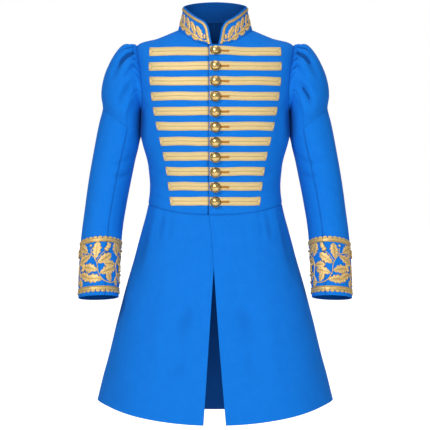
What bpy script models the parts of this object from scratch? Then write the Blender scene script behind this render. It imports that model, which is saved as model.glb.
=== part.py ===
"""Frock coat with a stand collar, gathered sleeve heads, a waist seam and a flared skirt, in its worn, hollow form.

Metres, +Z up. The coat faces -Y and the wearer's left is +X. The origin is where the wearer's neck and
shoulders carry the coat: midway between the neck ends of the two shoulder seams.
Every cloth piece is a wall between an outer surface, worked out from a table of rings, and the same surface
moved inwards by the cloth's thickness.
"""

import math

import bpy
from mathutils import Vector

# ---------------------------------------------------------------- driving dimensions
CLOTH = 0.0020  # lined wool
COLLAR_CLOTH = 0.0030  # wool over stiff canvas
LACE = 0.0009  # woven gold lace, laid flat
SEAM = 0.0003  # clearance between pieces that meet
LAP_LIFT = CLOTH + 3 * SEAM  # the left front lies on the right one
LAP_START, LAP_FADE = 0.012, 0.050  # from this X, and comes down to it over this width
LEFT_EDGE_X = -0.0142  # front edge of the left front, past the centre
RIGHT_EDGE_X = 0.0142  # hidden front edge of the right front
ARMPIT, SHOULDER = 0.55, 0.85  # levels of the armhole's lowest and highest points
ARMHOLE_CUT = (22, 24)  # how many degrees it is cut into the front and into the back
ARMHOLE_OVAL = 2.4  # exponent of its outline
SIDE_SEAM_WAIST = math.radians(102)
FRONT_BEND = math.radians(58)  # where a front turns towards the side
SLEEVE_SEAM = math.radians(112)  # front and back seams, from the outermost line
ARMHOLE_CENTRE = Vector((0.180, 0.0, -0.115))
ARMHOLE_LIFT = 0.0008  # the sleeve's end stands this far off the bodice

# Bodice rings, from the waist seam to the neck. side_, front_ and back_ are the ring's outermost points,
# half_width is the side point's X, and square is the exponent of its superellipse.
RING = ("level", "half_width", "side_z", "front_y", "front_z", "back_y", "back_z", "square")
BODICE_RINGS = (
    (0.00, 0.1608, -0.4166, -0.1060, -0.4405, 0.0880, -0.4200, 2.30),
    (0.12, 0.1562, -0.3744, -0.1045, -0.3900, 0.0840, -0.3740, 2.30),
    (0.28, 0.1630, -0.3168, -0.1130, -0.3270, 0.0950, -0.3130, 2.35),
    (0.42, 0.1770, -0.2592, -0.1225, -0.2640, 0.1080, -0.2500, 2.40),
    (0.55, 0.1776, -0.1920, -0.1270, -0.2000, 0.1160, -0.1800, 2.40),
    (0.65, 0.1850, -0.1500, -0.1255, -0.1640, 0.1170, -0.1380, 2.35),
    (0.75, 0.1900, -0.1020, -0.1200, -0.1270, 0.1130, -0.0930, 2.20),
    (0.85, 0.1872, -0.0385, -0.1060, -0.0820, 0.0990, -0.0380, 2.00),
    (0.92, 0.1370, -0.0205, -0.0930, -0.0600, 0.0810, -0.0090, 2.00),
    (1.00, 0.0886, 0.0000, -0.0780, -0.0385, 0.0620, 0.0215, 2.00),
)
# Skirt rings, from the waist seam to the hem, which hangs lower in front and behind than at the sides.
SKIRT_RINGS = (
    (0.00, 0.1608, -0.4166, -0.1060, -0.4405, 0.0880, -0.4200, 2.30),
    (0.12, 0.1735, -0.4680, -0.1180, -0.4960, 0.1090, -0.4800, 2.25),
    (0.35, 0.2035, -0.5780, -0.1400, -0.6110, 0.1480, -0.6000, 2.20),
    (0.70, 0.2475, -0.7480, -0.1700, -0.7860, 0.1980, -0.7850, 2.15),
    (1.00, 0.2846, -0.8865, -0.1950, -0.9300, 0.2350, -0.9350, 2.10),
)
# Collar rings, at the neck seam and at the top edge.
COLLAR_BASE = (0.0, 0.0886, 0.0000, -0.0780, -0.0385, 0.0620, 0.0215, 2.00)
COLLAR_TOP = (1.0, 0.0768, 0.0550, -0.0740, 0.0140, 0.0560, 0.0690, 2.00)
COLLAR_CREST = 1.1  # how evenly its top edge stays up behind: 2 is a parabola, less is flatter
COLLAR_END_X = (0.0070, 0.0180)  # half the gap between its ends, at the seam and above
COLLAR_CORNER = (0.62, 0.0150)  # height where the rounded corner starts, and its reach
COLLAR_LACE_INSETS = (0.0032, 0.0096)
COLLAR_LACE_FOOT, COLLAR_LACE_ROWS = 0.02, 8  # where it starts above the seam, and its rows up the front edge
COLLAR_LIFT = 3.5 * SEAM  # off the bodice
COLLAR_HOLLOW = 0.0012  # how far it curves in at half its height
COLLAR_HEIGHTS = (0.0, 0.34, 0.62, 0.82, 0.94, 1.0)

# Sleeve rings, from just outside the armhole to the cuff edge, for the wearer's left arm. The outer and inner
# points lie in the ring's plane of symmetry, depth is half its size front to back, and pitch tips it forwards.
SLEEVE_RING = ("outer_x", "outer_z", "inner_x", "inner_z", "centre_y", "depth", "pitch")
SLEEVE_RINGS = (
    (0.1997, -0.0319, 0.1792, -0.1950, 0.000, 0.0580, 0),
    (0.2213, -0.0355, 0.1793, -0.2005, 0.000, 0.0635, 0),
    (0.2441, -0.0600, 0.1792, -0.2088, 0.001, 0.0690, 0),
    (0.2621, -0.0960, 0.1792, -0.2184, 0.002, 0.0730, 0),
    (0.2717, -0.1320, 0.1793, -0.2304, 0.003, 0.0730, 0),
    (0.2741, -0.1600, 0.1795, -0.2424, 0.004, 0.0695, 0),
    (0.2707, -0.1882, 0.1803, -0.2568, 0.005, 0.0640, 0),
    (0.2777, -0.2208, 0.1838, -0.2808, 0.006, 0.0650, 0),
    (0.2878, -0.2712, 0.1908, -0.3096, 0.007, 0.0635, 0),
    (0.2969, -0.3192, 0.1985, -0.3456, 0.007, 0.0620, 2),
    (0.3048, -0.3696, 0.2066, -0.3840, 0.004, 0.0600, 6),
    (0.3120, -0.4176, 0.2138, -0.4224, -0.003, 0.0580, 10),
    (0.3178, -0.4656, 0.2204, -0.4640, -0.014, 0.0550, 15),
    (0.3221, -0.5112, 0.2246, -0.5075, -0.027, 0.0520, 20),
    (0.3240, -0.5568, 0.2270, -0.5520, -0.041, 0.0500, 18),
    (0.3254, -0.6030, 0.2288, -0.5990, -0.054, 0.0485, 14),
    (0.3262, -0.6400, 0.2298, -0.6370, -0.064, 0.0480, 10.5),
)
HEAD_END = 7  # sleeve ring where the gathered head is sewn to the plain sleeve
CUFF_LACE_RINGS = ((14.00, 14.30), (16.45, 16.82))  # where the two cuff laces lie

# Gathers at the sleeve head: angle from the top of the armhole (front positive), depth at the seam, half width
# of the trough, and how many rings it runs.
GATHER = ("angle", "depth", "half_width", "reach")
GATHERS = (
    (-62, 0.0026, 9, 1.8),
    (-40, 0.0038, 8, 2.6),
    (-19, 0.0030, 8, 2.2),
    (2, 0.0034, 8, 2.8),
    (22, 0.0040, 8, 3.2),
    (43, 0.0036, 8, 2.8),
    (66, 0.0024, 9, 1.8),
)
# Soft flutes of the skirt: angle from the centre front, depth at the hem, half width.
FLUTE = ("angle", "depth", "half_width")
FLUTES = (
    (38, 0.0030, 12),
    (68, -0.0025, 13),
    (112, 0.0050, 14),
    (150, -0.0060, 15),
    (-38, 0.0030, 12),
    (-68, -0.0025, 13),
    (-112, 0.0050, 14),
    (-150, -0.0060, 15),
)

# Lace bars across the chest, from the top: how far each reaches from the centre line.
BAR_REACH = (0.1560, 0.1568, 0.1548, 0.1505, 0.1452, 0.1386, 0.1302, 0.1220, 0.1156, 0.1106, 0.1064)
BAR_TOP_Z = -0.0545
BAR_PITCH = 0.03545
BAR_HEIGHT = 0.0200
BAR_START = {1: LEFT_EDGE_X + 0.0012, -1: 0.0010 - LEFT_EDGE_X}  # inner ends, left and right
BAR_MARGIN = 0.001  # least length of a bar's end facets
BAR_ROWS = (6, 2)  # along the top bar, which bends over the shoulder, and along the others
BAR_LIFT = (4 * SEAM, 2 * SEAM)  # off the front, likewise
BUTTON_RADIUS = 0.0127
BUTTON_DOME = 0.0098
BUTTON_RIM = (0.0006, 0.0012)  # the rim's bevel, across and along
BUTTON_SIDES = 12
SHANK_RADIUS, SHANK = 0.0032, 0.0016
BUTTON_X = 0.0008
BUTTON_DROP = 0.0014  # below the middle of its bar

# Columns and rows of the meshes.
COLUMNS = {"front": 8, "front_side": 3, "back": 7, "skirt_back": 14, "collar": 30}
SLEEVE_COLUMNS = {"head": 20, "top": 12, "under": 7}

BLUE = ("wool", (0.012, 0.195, 0.80), 0.85, 0.0)
GOLD_LACE = ("gold_lace", (0.78, 0.56, 0.22), 0.50, 0.3)
BRASS = ("gilt", (0.80, 0.60, 0.25), 0.22, 1.0)


# ---------------------------------------------------------------- interpolation
def spline(rows, column, at):
    """Catmull-Rom through one column of a table whose first column is the place along it."""
    keys = [row[0] for row in rows]
    i = max(0, min(len(rows) - 2, sum(key <= at for key in keys) - 1))
    before, after = max(0, i - 1), min(len(rows) - 1, i + 2)
    a, b = keys[i], keys[i + 1]
    t = (at - a) / (b - a)
    p0, p1 = rows[i][column], rows[i + 1][column]
    m0 = (p1 - rows[before][column]) / (b - keys[before]) * (b - a)
    m1 = (rows[after][column] - p0) / (keys[after] - a) * (b - a)
    t2, t3 = t * t, t * t * t
    return (2 * t3 - 3 * t2 + 1) * p0 + (t3 - 2 * t2 + t) * m0 + (3 * t2 - 2 * t3) * p1 + (t3 - t2) * m1


def ring_at(rows, level):
    return {name: spline(rows, i, level) for i, name in enumerate(RING) if i}


def bump(distance, half_width):
    """1 at no distance, falling smoothly to almost 0 at twice the half width."""
    return math.exp(-((distance / half_width) ** 2))


def ring_point(ring, angle):
    """A point of a ring. angle is 0 at the centre front, positive towards +X and 180 degrees behind."""
    power = 2 / ring["square"]
    across, along = math.sin(angle), math.cos(angle)
    width = math.copysign(abs(across) ** power, across)
    depth = abs(along) ** power
    end = "front" if along > 0 else "back"
    rise = depth**2
    return Vector(
        (
            ring["half_width"] * width,
            ring[end + "_y"] * depth,
            ring["side_z"] + (ring[end + "_z"] - ring["side_z"]) * rise,
        )
    )


def angle_of_x(ring, x):
    """The angle at which a ring's front half has that X."""
    share = min(1.0, abs(x) / ring["half_width"])
    return math.copysign(math.asin(share ** (ring["square"] / 2)), x)


def normal_of(surface, u, v, inside):
    """Unit normal of surface(u, v), pointing away from the point inside."""
    step = 1e-3
    du = surface(u + step, v) - surface(u - step, v)
    dv = surface(u, v + step) - surface(u, v - step)
    n = du.cross(dv).normalized()
    return n if n.dot(surface(u, v) - inside) > 0 else -n


# ---------------------------------------------------------------- surfaces
def bodice(angle, level):
    return ring_point(ring_at(BODICE_RINGS, min(1.0, max(0.0, level))), angle)


def bodice_normal(angle, level):
    level = min(0.999, max(0.001, level))
    point = bodice(angle, level)
    return normal_of(bodice, angle, level, Vector((point.x * 0.5, 0, point.z - 0.08)))


def skirt(angle, level):
    ring = ring_at(SKIRT_RINGS, min(1.0, max(0.0, level)))
    point = ring_point(ring, angle)
    outwards = Vector((point.x, point.y, 0)).normalized()
    degrees = math.degrees(math.atan2(math.sin(angle), math.cos(angle)))
    wave = 0.0
    for row in FLUTES:
        flute = dict(zip(FLUTE, row))
        wave += flute["depth"] * bump(degrees - flute["angle"], flute["half_width"])
    return point + outwards * wave * max(0.0, level) ** 1.5


def skirt_normal(angle, level):
    if level == 0:
        return bodice_normal(angle, 0)
    level = min(0.999, max(0.001, level))
    point = skirt(angle, level)
    return normal_of(skirt, angle, level, Vector((0, 0, point.z)))


def lap(x, side):
    """How far a front is lifted at X: the left front, on the +X side, lies over the right one."""
    if side < 0:
        return 0.0
    t = max(0.0, min(1.0, (x - LAP_START) / LAP_FADE))
    return LAP_LIFT * (1 - t * t * (3 - 2 * t))


def armhole_angles(level):
    """(front edge, back edge) of the armhole at a level, as angles of the bodice."""
    u = max(0.0, min(1.0, (level - ARMPIT) / (SHOULDER - ARMPIT)))
    oval = math.sqrt(1 - abs(2 * u - 1) ** ARMHOLE_OVAL)
    return math.radians(90 - ARMHOLE_CUT[0] * oval), math.radians(90 + ARMHOLE_CUT[1] * oval)


def armhole(turn, spread=0.0):
    """A point just outside the left armhole's edge. turn is 0 at the top and 90 degrees in front."""
    u = (1 + math.cos(turn)) / 2
    level = ARMPIT + u * (SHOULDER - ARMPIT)
    front, back = armhole_angles(level)
    angle = front if math.sin(turn) >= 0 else back
    point, normal = bodice(angle, level), bodice_normal(angle, level)
    outwards = point - ARMHOLE_CENTRE
    outwards = (outwards - normal * outwards.dot(normal)).normalized()
    return point + normal * ARMHOLE_LIFT + outwards * spread


def sleeve_ellipse(turn, station):
    """A point of the sleeve beyond the armhole. station counts rows of SLEEVE_RINGS from 1."""
    rows = [(i + 1, *row) for i, row in enumerate(SLEEVE_RINGS)]
    r = {name: spline(rows, i + 1, station) for i, name in enumerate(SLEEVE_RING)}
    outer = Vector((r["outer_x"], 0, r["outer_z"]))
    inner = Vector((r["inner_x"], 0, r["inner_z"]))
    pitch = math.radians(r["pitch"])
    forwards = r["depth"] * math.sin(turn)
    point = (outer + inner) / 2 + (outer - inner) / 2 * math.cos(turn)
    return point + Vector((0, r["centre_y"] - forwards * math.cos(pitch), forwards * math.sin(pitch)))


def sleeve(turn, station):
    """The left sleeve's outer surface, from the armhole at station 0. turn is 0 on the outermost line."""
    station = min(len(SLEEVE_RINGS), max(0.0, station))
    if station >= 1:
        point = sleeve_ellipse(turn, station)
    else:
        near, far = armhole(turn, CLOTH / 2), sleeve_ellipse(turn, 1.0)
        t = math.sin(station * math.pi / 2)
        point = near.lerp(far, t)
    degrees = math.degrees(math.atan2(math.sin(turn), math.cos(turn)))
    fold = 0.0
    for row in GATHERS:
        gather = dict(zip(GATHER, row))
        fade = math.sin(math.pi * min(1.0, station / gather["reach"]) ** 0.45)
        fold += gather["depth"] * max(0.0, fade) * bump(degrees - gather["angle"], gather["half_width"])
    centre = (sleeve_ellipse(0, max(1, station)) + sleeve_ellipse(math.pi, max(1, station))) / 2
    return point - (point - centre).normalized() * fold


def sleeve_normal(turn, station):
    station = min(len(SLEEVE_RINGS) - 0.001, max(0.05, station))
    inner = max(1.0, station)
    centre = (sleeve_ellipse(0, inner) + sleeve_ellipse(math.pi, inner)) / 2
    return normal_of(sleeve, turn, station, centre)


def collar(angle, height):
    """The collar's outer surface, height 0 at the neck seam and 1 at the top edge, slightly hollow."""
    base = ring_point(dict(zip(RING, COLLAR_BASE)), angle)
    ring = dict(zip(RING, COLLAR_TOP))
    top = ring_point(ring, angle)
    if math.cos(angle) < 0:
        top.z = ring["side_z"] + (ring["back_z"] - ring["side_z"]) * abs(math.cos(angle)) ** COLLAR_CREST
    lift = COLLAR_LIFT + (lap(abs(base.x), 1) if base.y < 0 else 0.0)
    base += bodice_normal(angle, 0.995) * lift
    hollow = Vector((base.x, base.y, 0)).normalized() * COLLAR_HOLLOW * math.sin(math.pi * height)
    return base.lerp(top, height) - hollow


def collar_normal(angle, height):
    point = collar(angle, height)
    return normal_of(collar, angle, min(0.999, max(0.001, height)), Vector((0, 0, point.z)))


def collar_end(height, inset=0.0):
    """The angle of the collar's front edge at a height, with its corner rounded, or of a line inside it."""
    height = min(1.0, height)
    start, reach = COLLAR_CORNER
    x = COLLAR_END_X[0] + (COLLAR_END_X[1] - COLLAR_END_X[0]) * height**0.8 + inset
    t = max(0.0, (height - start) / (1 - start))
    x += reach * (1 - math.sqrt(max(0.0, 1 - t * t)))
    return x / abs(COLLAR_BASE[3])


# ---------------------------------------------------------------- mesh building
def material(spec):
    name, colour, roughness, metallic = spec
    found = bpy.data.materials.get(name)
    if found:
        return found
    made = bpy.data.materials.new(name)
    made.use_nodes = True
    shader = made.node_tree.nodes["Principled BSDF"]
    shader.inputs["Base Color"].default_value = (*colour, 1)
    shader.inputs["Roughness"].default_value = roughness
    shader.inputs["Metallic"].default_value = metallic
    return made


def add_object(name, points, faces, spec):
    mesh = bpy.data.meshes.new(name)
    mesh.from_pydata([tuple(p) for p in points], [], faces)
    mesh.validate()
    made = bpy.data.objects.new(name, mesh)
    made.data.materials.append(material(spec))
    bpy.context.scene.collection.objects.link(made)
    mesh.shade_smooth()
    mesh.set_sharp_from_angle(angle=math.radians(40))
    return made


def signed_volume(points, faces):
    """Positive where the faces point out of the body they close."""
    total = 0.0
    for face in faces:
        for second, third in zip(face[1:-1], face[2:]):
            total += points[face[0]].dot(points[second].cross(points[third]))
    return total


def wall(name, grid, thickness, spec):
    """A closed wall from a grid of (outer point, outward normal), rows by columns."""
    rows, columns = len(grid), len(grid[0])
    outer = [point for row in grid for point, _ in row]
    inner = [point - normal * thickness for row in grid for point, normal in row]
    shift = len(outer)
    faces = []
    for r in range(rows - 1):
        for c in range(columns - 1):
            a, b = r * columns + c, r * columns + c + 1
            quad = (a, b, b + columns, a + columns)
            faces.append(quad)
            faces.append(tuple(i + shift for i in reversed(quad)))
    rim = list(range(columns - 1))
    rim += [r * columns + columns - 1 for r in range(rows - 1)]
    rim += [(rows - 1) * columns + c for c in range(columns - 1, 0, -1)]
    rim += [r * columns for r in range(rows - 1, 0, -1)]
    for a, b in zip(rim, rim[1:] + rim[:1]):
        faces.append((b, a, a + shift, b + shift))
    points = outer + inner
    if signed_volume(points, faces) < 0:
        faces = [tuple(reversed(face)) for face in faces]
    return add_object(name, points, faces, spec)


def mirrored(grid):
    return [[(Vector((-p.x, p.y, p.z)), Vector((-n.x, n.y, n.z))) for p, n in row] for row in grid]


def steps(start, end, count):
    return [start + (end - start) * i / count for i in range(count + 1)]


# ---------------------------------------------------------------- bodice and skirt
def bodice_levels():
    """Rows of the bodice: even below the armhole, closer at its two ends, even over the shoulder."""
    armhole_rows = [
        ARMPIT + (SHOULDER - ARMPIT) * (1 - math.cos(math.pi * t)) / 2 for t in steps(0, 1, 7)
    ]
    return steps(0.0, ARMPIT, 7)[:-1] + armhole_rows + steps(SHOULDER, 1.0, 4)[1:]


def side_seam(level):
    """The angle of the side seam, which runs from the bottom of the armhole a little towards the back."""
    t = 1 - min(1.0, level / ARMPIT)
    return math.radians(90) + (SIDE_SEAM_WAIST - math.radians(90)) * t


def outline_angle(level, which):
    """The angle where the front or the back panel ends: side seam, armhole or shoulder seam."""
    if level <= ARMPIT:
        return side_seam(level)
    if level >= SHOULDER:
        return math.radians(90)
    return armhole_angles(level)[0 if which == "front" else 1]


def seam_gap(level, ring):
    return 0.7 * SEAM / ring["half_width"]


def front_columns(start, end):
    """Angles of a front's columns: even to FRONT_BEND, and again from there to the side."""
    return steps(start, FRONT_BEND, COLUMNS["front"])[:-1] + steps(FRONT_BEND, end, COLUMNS["front_side"])


def front_grid(side, edge_x):
    """Rows of (outer point, normal) of a front, from the waist up, drawn on the +X side."""
    grid = []
    for level in bodice_levels():
        ring = ring_at(BODICE_RINGS, level)
        start = angle_of_x(ring, edge_x)
        end = outline_angle(level, "front") - seam_gap(level, ring)
        row = []
        for angle in front_columns(start, end):
            point, normal = bodice(angle, level), bodice_normal(angle, level)
            point = point + normal * lap(point.x, side)
            if level == 0:
                point.z += SEAM / 2
            row.append((point, normal))
        grid.append(row)
    return grid


def front_crossings(grid, z):
    """Where each column of a front's facets reaches a height: (point, normal), from the front edge outwards."""
    crossings = []
    for column in zip(*grid):
        for (low, low_normal), (high, high_normal) in zip(column, column[1:]):
            if low.z <= z <= high.z:
                t = (z - low.z) / (high.z - low.z)
                crossings.append((low.lerp(high, t), low_normal.lerp(high_normal, t)))
                break
    return crossings


def between(crossings, x):
    """The place at X on the line through a height's crossings, and the normal there."""
    following = next((i for i, (point, _) in enumerate(crossings) if point.x > x), len(crossings) - 1)
    (near, near_normal), (far, far_normal) = crossings[following - 1], crossings[following]
    t = (x - near.x) / (far.x - near.x)
    return near.lerp(far, t), near_normal.lerp(far_normal, t).normalized()


def back_panel(name, side):
    grid = []
    for level in bodice_levels():
        ring = ring_at(BODICE_RINGS, level)
        start = outline_angle(level, "back") + seam_gap(level, ring)
        end = math.pi - SEAM / ring["half_width"]
        row = []
        for angle in steps(start, end, COLUMNS["back"]):
            point, normal = bodice(angle, level), bodice_normal(angle, level)
            if level == 0:
                point.z += SEAM / 2
            row.append((point, normal))
        grid.append(row)
    return wall(name, grid if side > 0 else mirrored(grid), CLOTH, BLUE)


SKIRT_LEVELS = (0.0, 0.06, 0.14, 0.28, 0.46, 0.64, 0.82, 1.0)
# Where the skirt's front edges are: level, and X of the left and of the right edge.
SKIRT_EDGES = (
    (0.00, LEFT_EDGE_X, RIGHT_EDGE_X),
    (0.10, -0.0085, 0.0035),
    (0.275, -0.0022, -0.0045),
    (0.60, 0.0092, -0.0152),
    (1.00, 0.0254, -0.0280),
)


def skirt_front(name, side):
    grid = []
    for level in SKIRT_LEVELS:
        ring = ring_at(SKIRT_RINGS, level)
        edge = spline(SKIRT_EDGES, 1 if side > 0 else 2, level) * side
        start = angle_of_x(ring, edge)
        end = SIDE_SEAM_WAIST - seam_gap(level, ring)
        row = []
        for angle in front_columns(start, end):
            point, normal = skirt(angle * side, level), skirt_normal(angle * side, level)
            point = point + normal * lap(point.x, side)
            if level == 0:
                point.z -= SEAM / 2
            row.append((point, normal))
        grid.append(row)
    return wall(name, grid, CLOTH, BLUE)


def skirt_back(name):
    grid = []
    for level in SKIRT_LEVELS:
        gap = seam_gap(level, ring_at(SKIRT_RINGS, level))
        start, end = SIDE_SEAM_WAIST + gap, 2 * math.pi - SIDE_SEAM_WAIST - gap
        row = []
        for angle in steps(start, end, COLUMNS["skirt_back"]):
            point, normal = skirt(angle, level), skirt_normal(angle, level)
            if level == 0:
                point.z -= SEAM / 2
            row.append((point, normal))
        grid.append(row)
    return wall(name, grid, CLOTH, BLUE)


# ---------------------------------------------------------------- sleeves
HEAD_STATIONS = (0.0, 0.28, 0.6, 1.0, 2.0, 3.2, 4.6, 6.0, HEAD_END)
ARM_STATIONS = (HEAD_END, 8, 9.4, 10.8, 12.4, *CUFF_LACE_RINGS[0], *CUFF_LACE_RINGS[1], len(SLEEVE_RINGS))


def sleeve_piece(name, side, turns, stations, ends=(0.0, 0.0)):
    """One sleeve piece. ends moves its first and last row along the sleeve, to leave the seam's clearance."""
    grid = []
    for i, station in enumerate(stations):
        shift = ends[0] if i == 0 else ends[1] if i == len(stations) - 1 else 0.0
        row = []
        for turn in turns:
            normal = sleeve_normal(turn, station)
            if station == 0:
                normal = (armhole(turn, CLOTH / 2) - armhole(turn, -CLOTH / 2)).normalized()
            row.append((sleeve(turn, station + shift), normal))
        grid.append(row)
    return wall(name, grid if side > 0 else mirrored(grid), CLOTH, BLUE)


TURN_GAP = SEAM / 0.05  # half a seam's clearance, as a turn of the sleeve
UNDER_TURNS = steps(SLEEVE_SEAM + TURN_GAP, 2 * math.pi - SLEEVE_SEAM - TURN_GAP, SLEEVE_COLUMNS["under"])
TOP_TURNS = steps(TURN_GAP - SLEEVE_SEAM, SLEEVE_SEAM - TURN_GAP, SLEEVE_COLUMNS["top"])
HEAD_TURNS = steps(TURN_GAP - SLEEVE_SEAM, SLEEVE_SEAM - TURN_GAP, SLEEVE_COLUMNS["head"])
STATION_GAP = SEAM / 0.030


def add_sleeve(word, side):
    sleeve_piece(f"sleeve_head_{word}", side, HEAD_TURNS, HEAD_STATIONS, (0.0, -STATION_GAP))
    sleeve_piece(f"sleeve_top_{word}", side, TOP_TURNS, ARM_STATIONS, (STATION_GAP, 0.0))
    sleeve_piece(f"sleeve_under_{word}", side, UNDER_TURNS, HEAD_STATIONS + ARM_STATIONS[1:])


def cuff_lace(name, side, stations):
    """A band of lace round the cuff, joined at the front sleeve seam, over the sleeve's own columns."""
    turns = [SLEEVE_SEAM + TURN_GAP, *UNDER_TURNS[1:-1]]
    turns += [turn + 2 * math.pi for turn in TOP_TURNS]
    grid = []
    for station in stations:
        row = []
        for turn in turns:
            normal = sleeve_normal(turn, station)
            row.append((sleeve(turn, station) + normal * (SEAM + LACE), normal))
        grid.append(row)
    return wall(name, grid if side > 0 else mirrored(grid), LACE, GOLD_LACE)


# ---------------------------------------------------------------- collar
def collar_piece():
    grid = []
    for height in COLLAR_HEIGHTS:
        end = collar_end(height)
        row = []
        for angle in steps(end, 2 * math.pi - end, COLUMNS["collar"]):
            row.append((collar(angle, height), collar_normal(angle, height)))
        grid.append(row)
    return wall("collar", grid, COLLAR_CLOTH, BLUE)


def collar_lace():
    """Narrow lace along the collar's front and top edges, in one strip."""
    height = COLLAR_TOP[2] - COLLAR_BASE[2]
    grid = []
    for inset in COLLAR_LACE_INSETS:
        top = 1 - inset / height
        half = [(collar_end(t, inset), t * top) for t in steps(COLLAR_LACE_FOOT, 1.0, COLLAR_LACE_ROWS)]
        columns = steps(collar_end(top), 2 * math.pi - collar_end(top), COLUMNS["collar"])
        half += [(angle, top) for angle in columns[2 : COLUMNS["collar"] // 2 + 1]]
        whole = half + [(2 * math.pi - angle, up) for angle, up in reversed(half[:-1])]
        row = []
        for angle, up in whole:
            normal = collar_normal(angle, up)
            row.append((collar(angle, up) + normal * (2 * SEAM + LACE), normal))
        grid.append(row)
    return wall("collar_lace", grid, LACE, GOLD_LACE)


# ---------------------------------------------------------------- chest lace and buttons
def bar_reach_at(z):
    """How far the bars reach at a height, between the reaches of the two nearest bars."""
    place = (BAR_TOP_Z - z) / BAR_PITCH
    rows = [(i, reach) for i, reach in enumerate(BAR_REACH)]
    return spline(rows, 1, max(-0.4, min(len(rows) - 0.6, place)))


def lace_bar(number, side, front):
    middle = BAR_TOP_Z - BAR_PITCH * number
    inner, outer = BAR_START[side], bar_reach_at(middle)
    rows, lift = BAR_ROWS[min(number, 1)], BAR_LIFT[min(number, 1)]
    heights = steps(middle - BAR_HEIGHT / 2, middle + BAR_HEIGHT / 2, rows)
    lines = [front_crossings(front, z) for z in heights]
    kept = [
        i for i, (point, _) in enumerate(lines[rows // 2]) if inner + BAR_MARGIN < point.x < outer - BAR_MARGIN
    ]
    grid = []
    for z, line in zip(heights, lines):
        row = [between(line, inner), *(line[i] for i in kept), between(line, bar_reach_at(z))]
        row = [(point, normal.normalized()) for point, normal in row]
        grid.append([(point + normal * (lift + LACE), normal) for point, normal in row])
    word = "left" if side > 0 else "right"
    grid = grid if side > 0 else mirrored(grid)
    return wall(f"bar_{word}_{number + 1:02d}", grid, LACE, GOLD_LACE)


def button(number, front):
    """A domed button on its shank, turned about its own axis and set square to the chest."""
    z = BAR_TOP_Z - BAR_PITCH * number - BUTTON_DROP
    point, normal = between(front_crossings(front, z), BUTTON_X)
    normal = Vector((0, normal.y, normal.z)).normalized()
    foot = BAR_LIFT[min(number, 1)] + LACE + 2 * SEAM
    back = foot + SHANK
    rim = back + BUTTON_RIM[1]
    profile = [(SHANK_RADIUS, foot), (SHANK_RADIUS, back), (BUTTON_RADIUS - BUTTON_RIM[0], back)]
    profile += [
        (BUTTON_RADIUS * math.cos(a), rim + BUTTON_DOME * math.sin(a))
        for a in (math.radians(degrees) for degrees in (0, 24, 48, 70))
    ]
    sides = BUTTON_SIDES
    across, up = Vector((1, 0, 0)), normal.cross(Vector((1, 0, 0)))
    points = [
        point + normal * lift + (across * math.cos(a) + up * math.sin(a)) * radius
        for radius, lift in profile
        for a in (2 * math.pi * k / sides for k in range(sides))
    ]
    points += [point + normal * foot, point + normal * (rim + BUTTON_DOME)]
    faces = []
    for k in range(sides):
        following = (k + 1) % sides
        faces.append((len(points) - 2, k, following))
        for r in range(len(profile) - 1):
            low, high = r * sides, (r + 1) * sides
            faces.append((low + k, high + k, high + following, low + following))
        last = (len(profile) - 1) * sides
        faces.append((last + following, last + k, len(points) - 1))
    if signed_volume(points, faces) < 0:
        faces = [tuple(reversed(face)) for face in faces]
    return add_object(f"button_{number + 1:02d}", points, faces, BRASS)


def main():
    for old in list(bpy.data.objects):
        bpy.data.objects.remove(old, do_unlink=True)
    fronts = {1: front_grid(1, LEFT_EDGE_X), -1: front_grid(-1, -RIGHT_EDGE_X)}
    wall("front_left", fronts[1], CLOTH, BLUE)
    wall("front_right", mirrored(fronts[-1]), CLOTH, BLUE)
    for word, side in (("left", 1), ("right", -1)):
        back_panel(f"back_{word}", side)
        skirt_front(f"skirt_{word}", side)
        add_sleeve(word, side)
        for place, stations in zip(("upper", "lower"), CUFF_LACE_RINGS):
            cuff_lace(f"cuff_lace_{place}_{word}", side, stations)
        for number in range(len(BAR_REACH)):
            lace_bar(number, side, fronts[side])
    skirt_back("skirt_back")
    collar_piece()
    collar_lace()
    for number in range(len(BAR_REACH)):
        button(number, fronts[1])


main()
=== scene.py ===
# %% [markdown]
# # A blue frock coat with gold lace
# This lesson dresses a plain, faceted model of a frock coat: smooth wool panels with gathers and seams, woven
# lace, padded gold needlework and polished buttons. The plain model is loaded first and is never moved, so
# every finished piece is laid on the same measurements, in metres. The coat faces -Y, and the wearer's left
# is +X.

# %% Load the fixed frame
import math

import bpy
import numpy as np
from mathutils import Matrix, Vector


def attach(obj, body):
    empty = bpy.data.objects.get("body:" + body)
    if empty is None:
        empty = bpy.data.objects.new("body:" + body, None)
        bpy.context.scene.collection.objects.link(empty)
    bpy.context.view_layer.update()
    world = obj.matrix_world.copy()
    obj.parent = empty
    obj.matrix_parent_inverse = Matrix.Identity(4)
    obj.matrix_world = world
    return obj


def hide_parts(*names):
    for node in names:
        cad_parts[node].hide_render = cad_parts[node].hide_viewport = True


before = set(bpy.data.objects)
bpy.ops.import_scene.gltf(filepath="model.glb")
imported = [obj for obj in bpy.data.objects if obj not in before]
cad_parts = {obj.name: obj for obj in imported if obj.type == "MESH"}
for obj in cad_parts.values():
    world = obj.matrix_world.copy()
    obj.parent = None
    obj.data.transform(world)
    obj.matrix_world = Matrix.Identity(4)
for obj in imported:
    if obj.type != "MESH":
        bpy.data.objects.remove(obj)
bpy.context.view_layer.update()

# %% [markdown]
# ## Camera, floor and lights
# Clothes are shown through a long lens from far away, so that nothing bulges. The room is a white studio:
# the camera sees white behind the coat, while the metal reflects a dimmer room with large soft lamps in it.
# Without something darker to reflect, polished brass would look like plaster.

# %% Camera, floor and lights
scene = bpy.context.scene
scene.view_settings.view_transform = "Standard"
AIM = Vector((-0.0005, 0.0, -0.444))
DISTANCE, ELEVATION = 6.0, math.radians(1.5)

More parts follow.
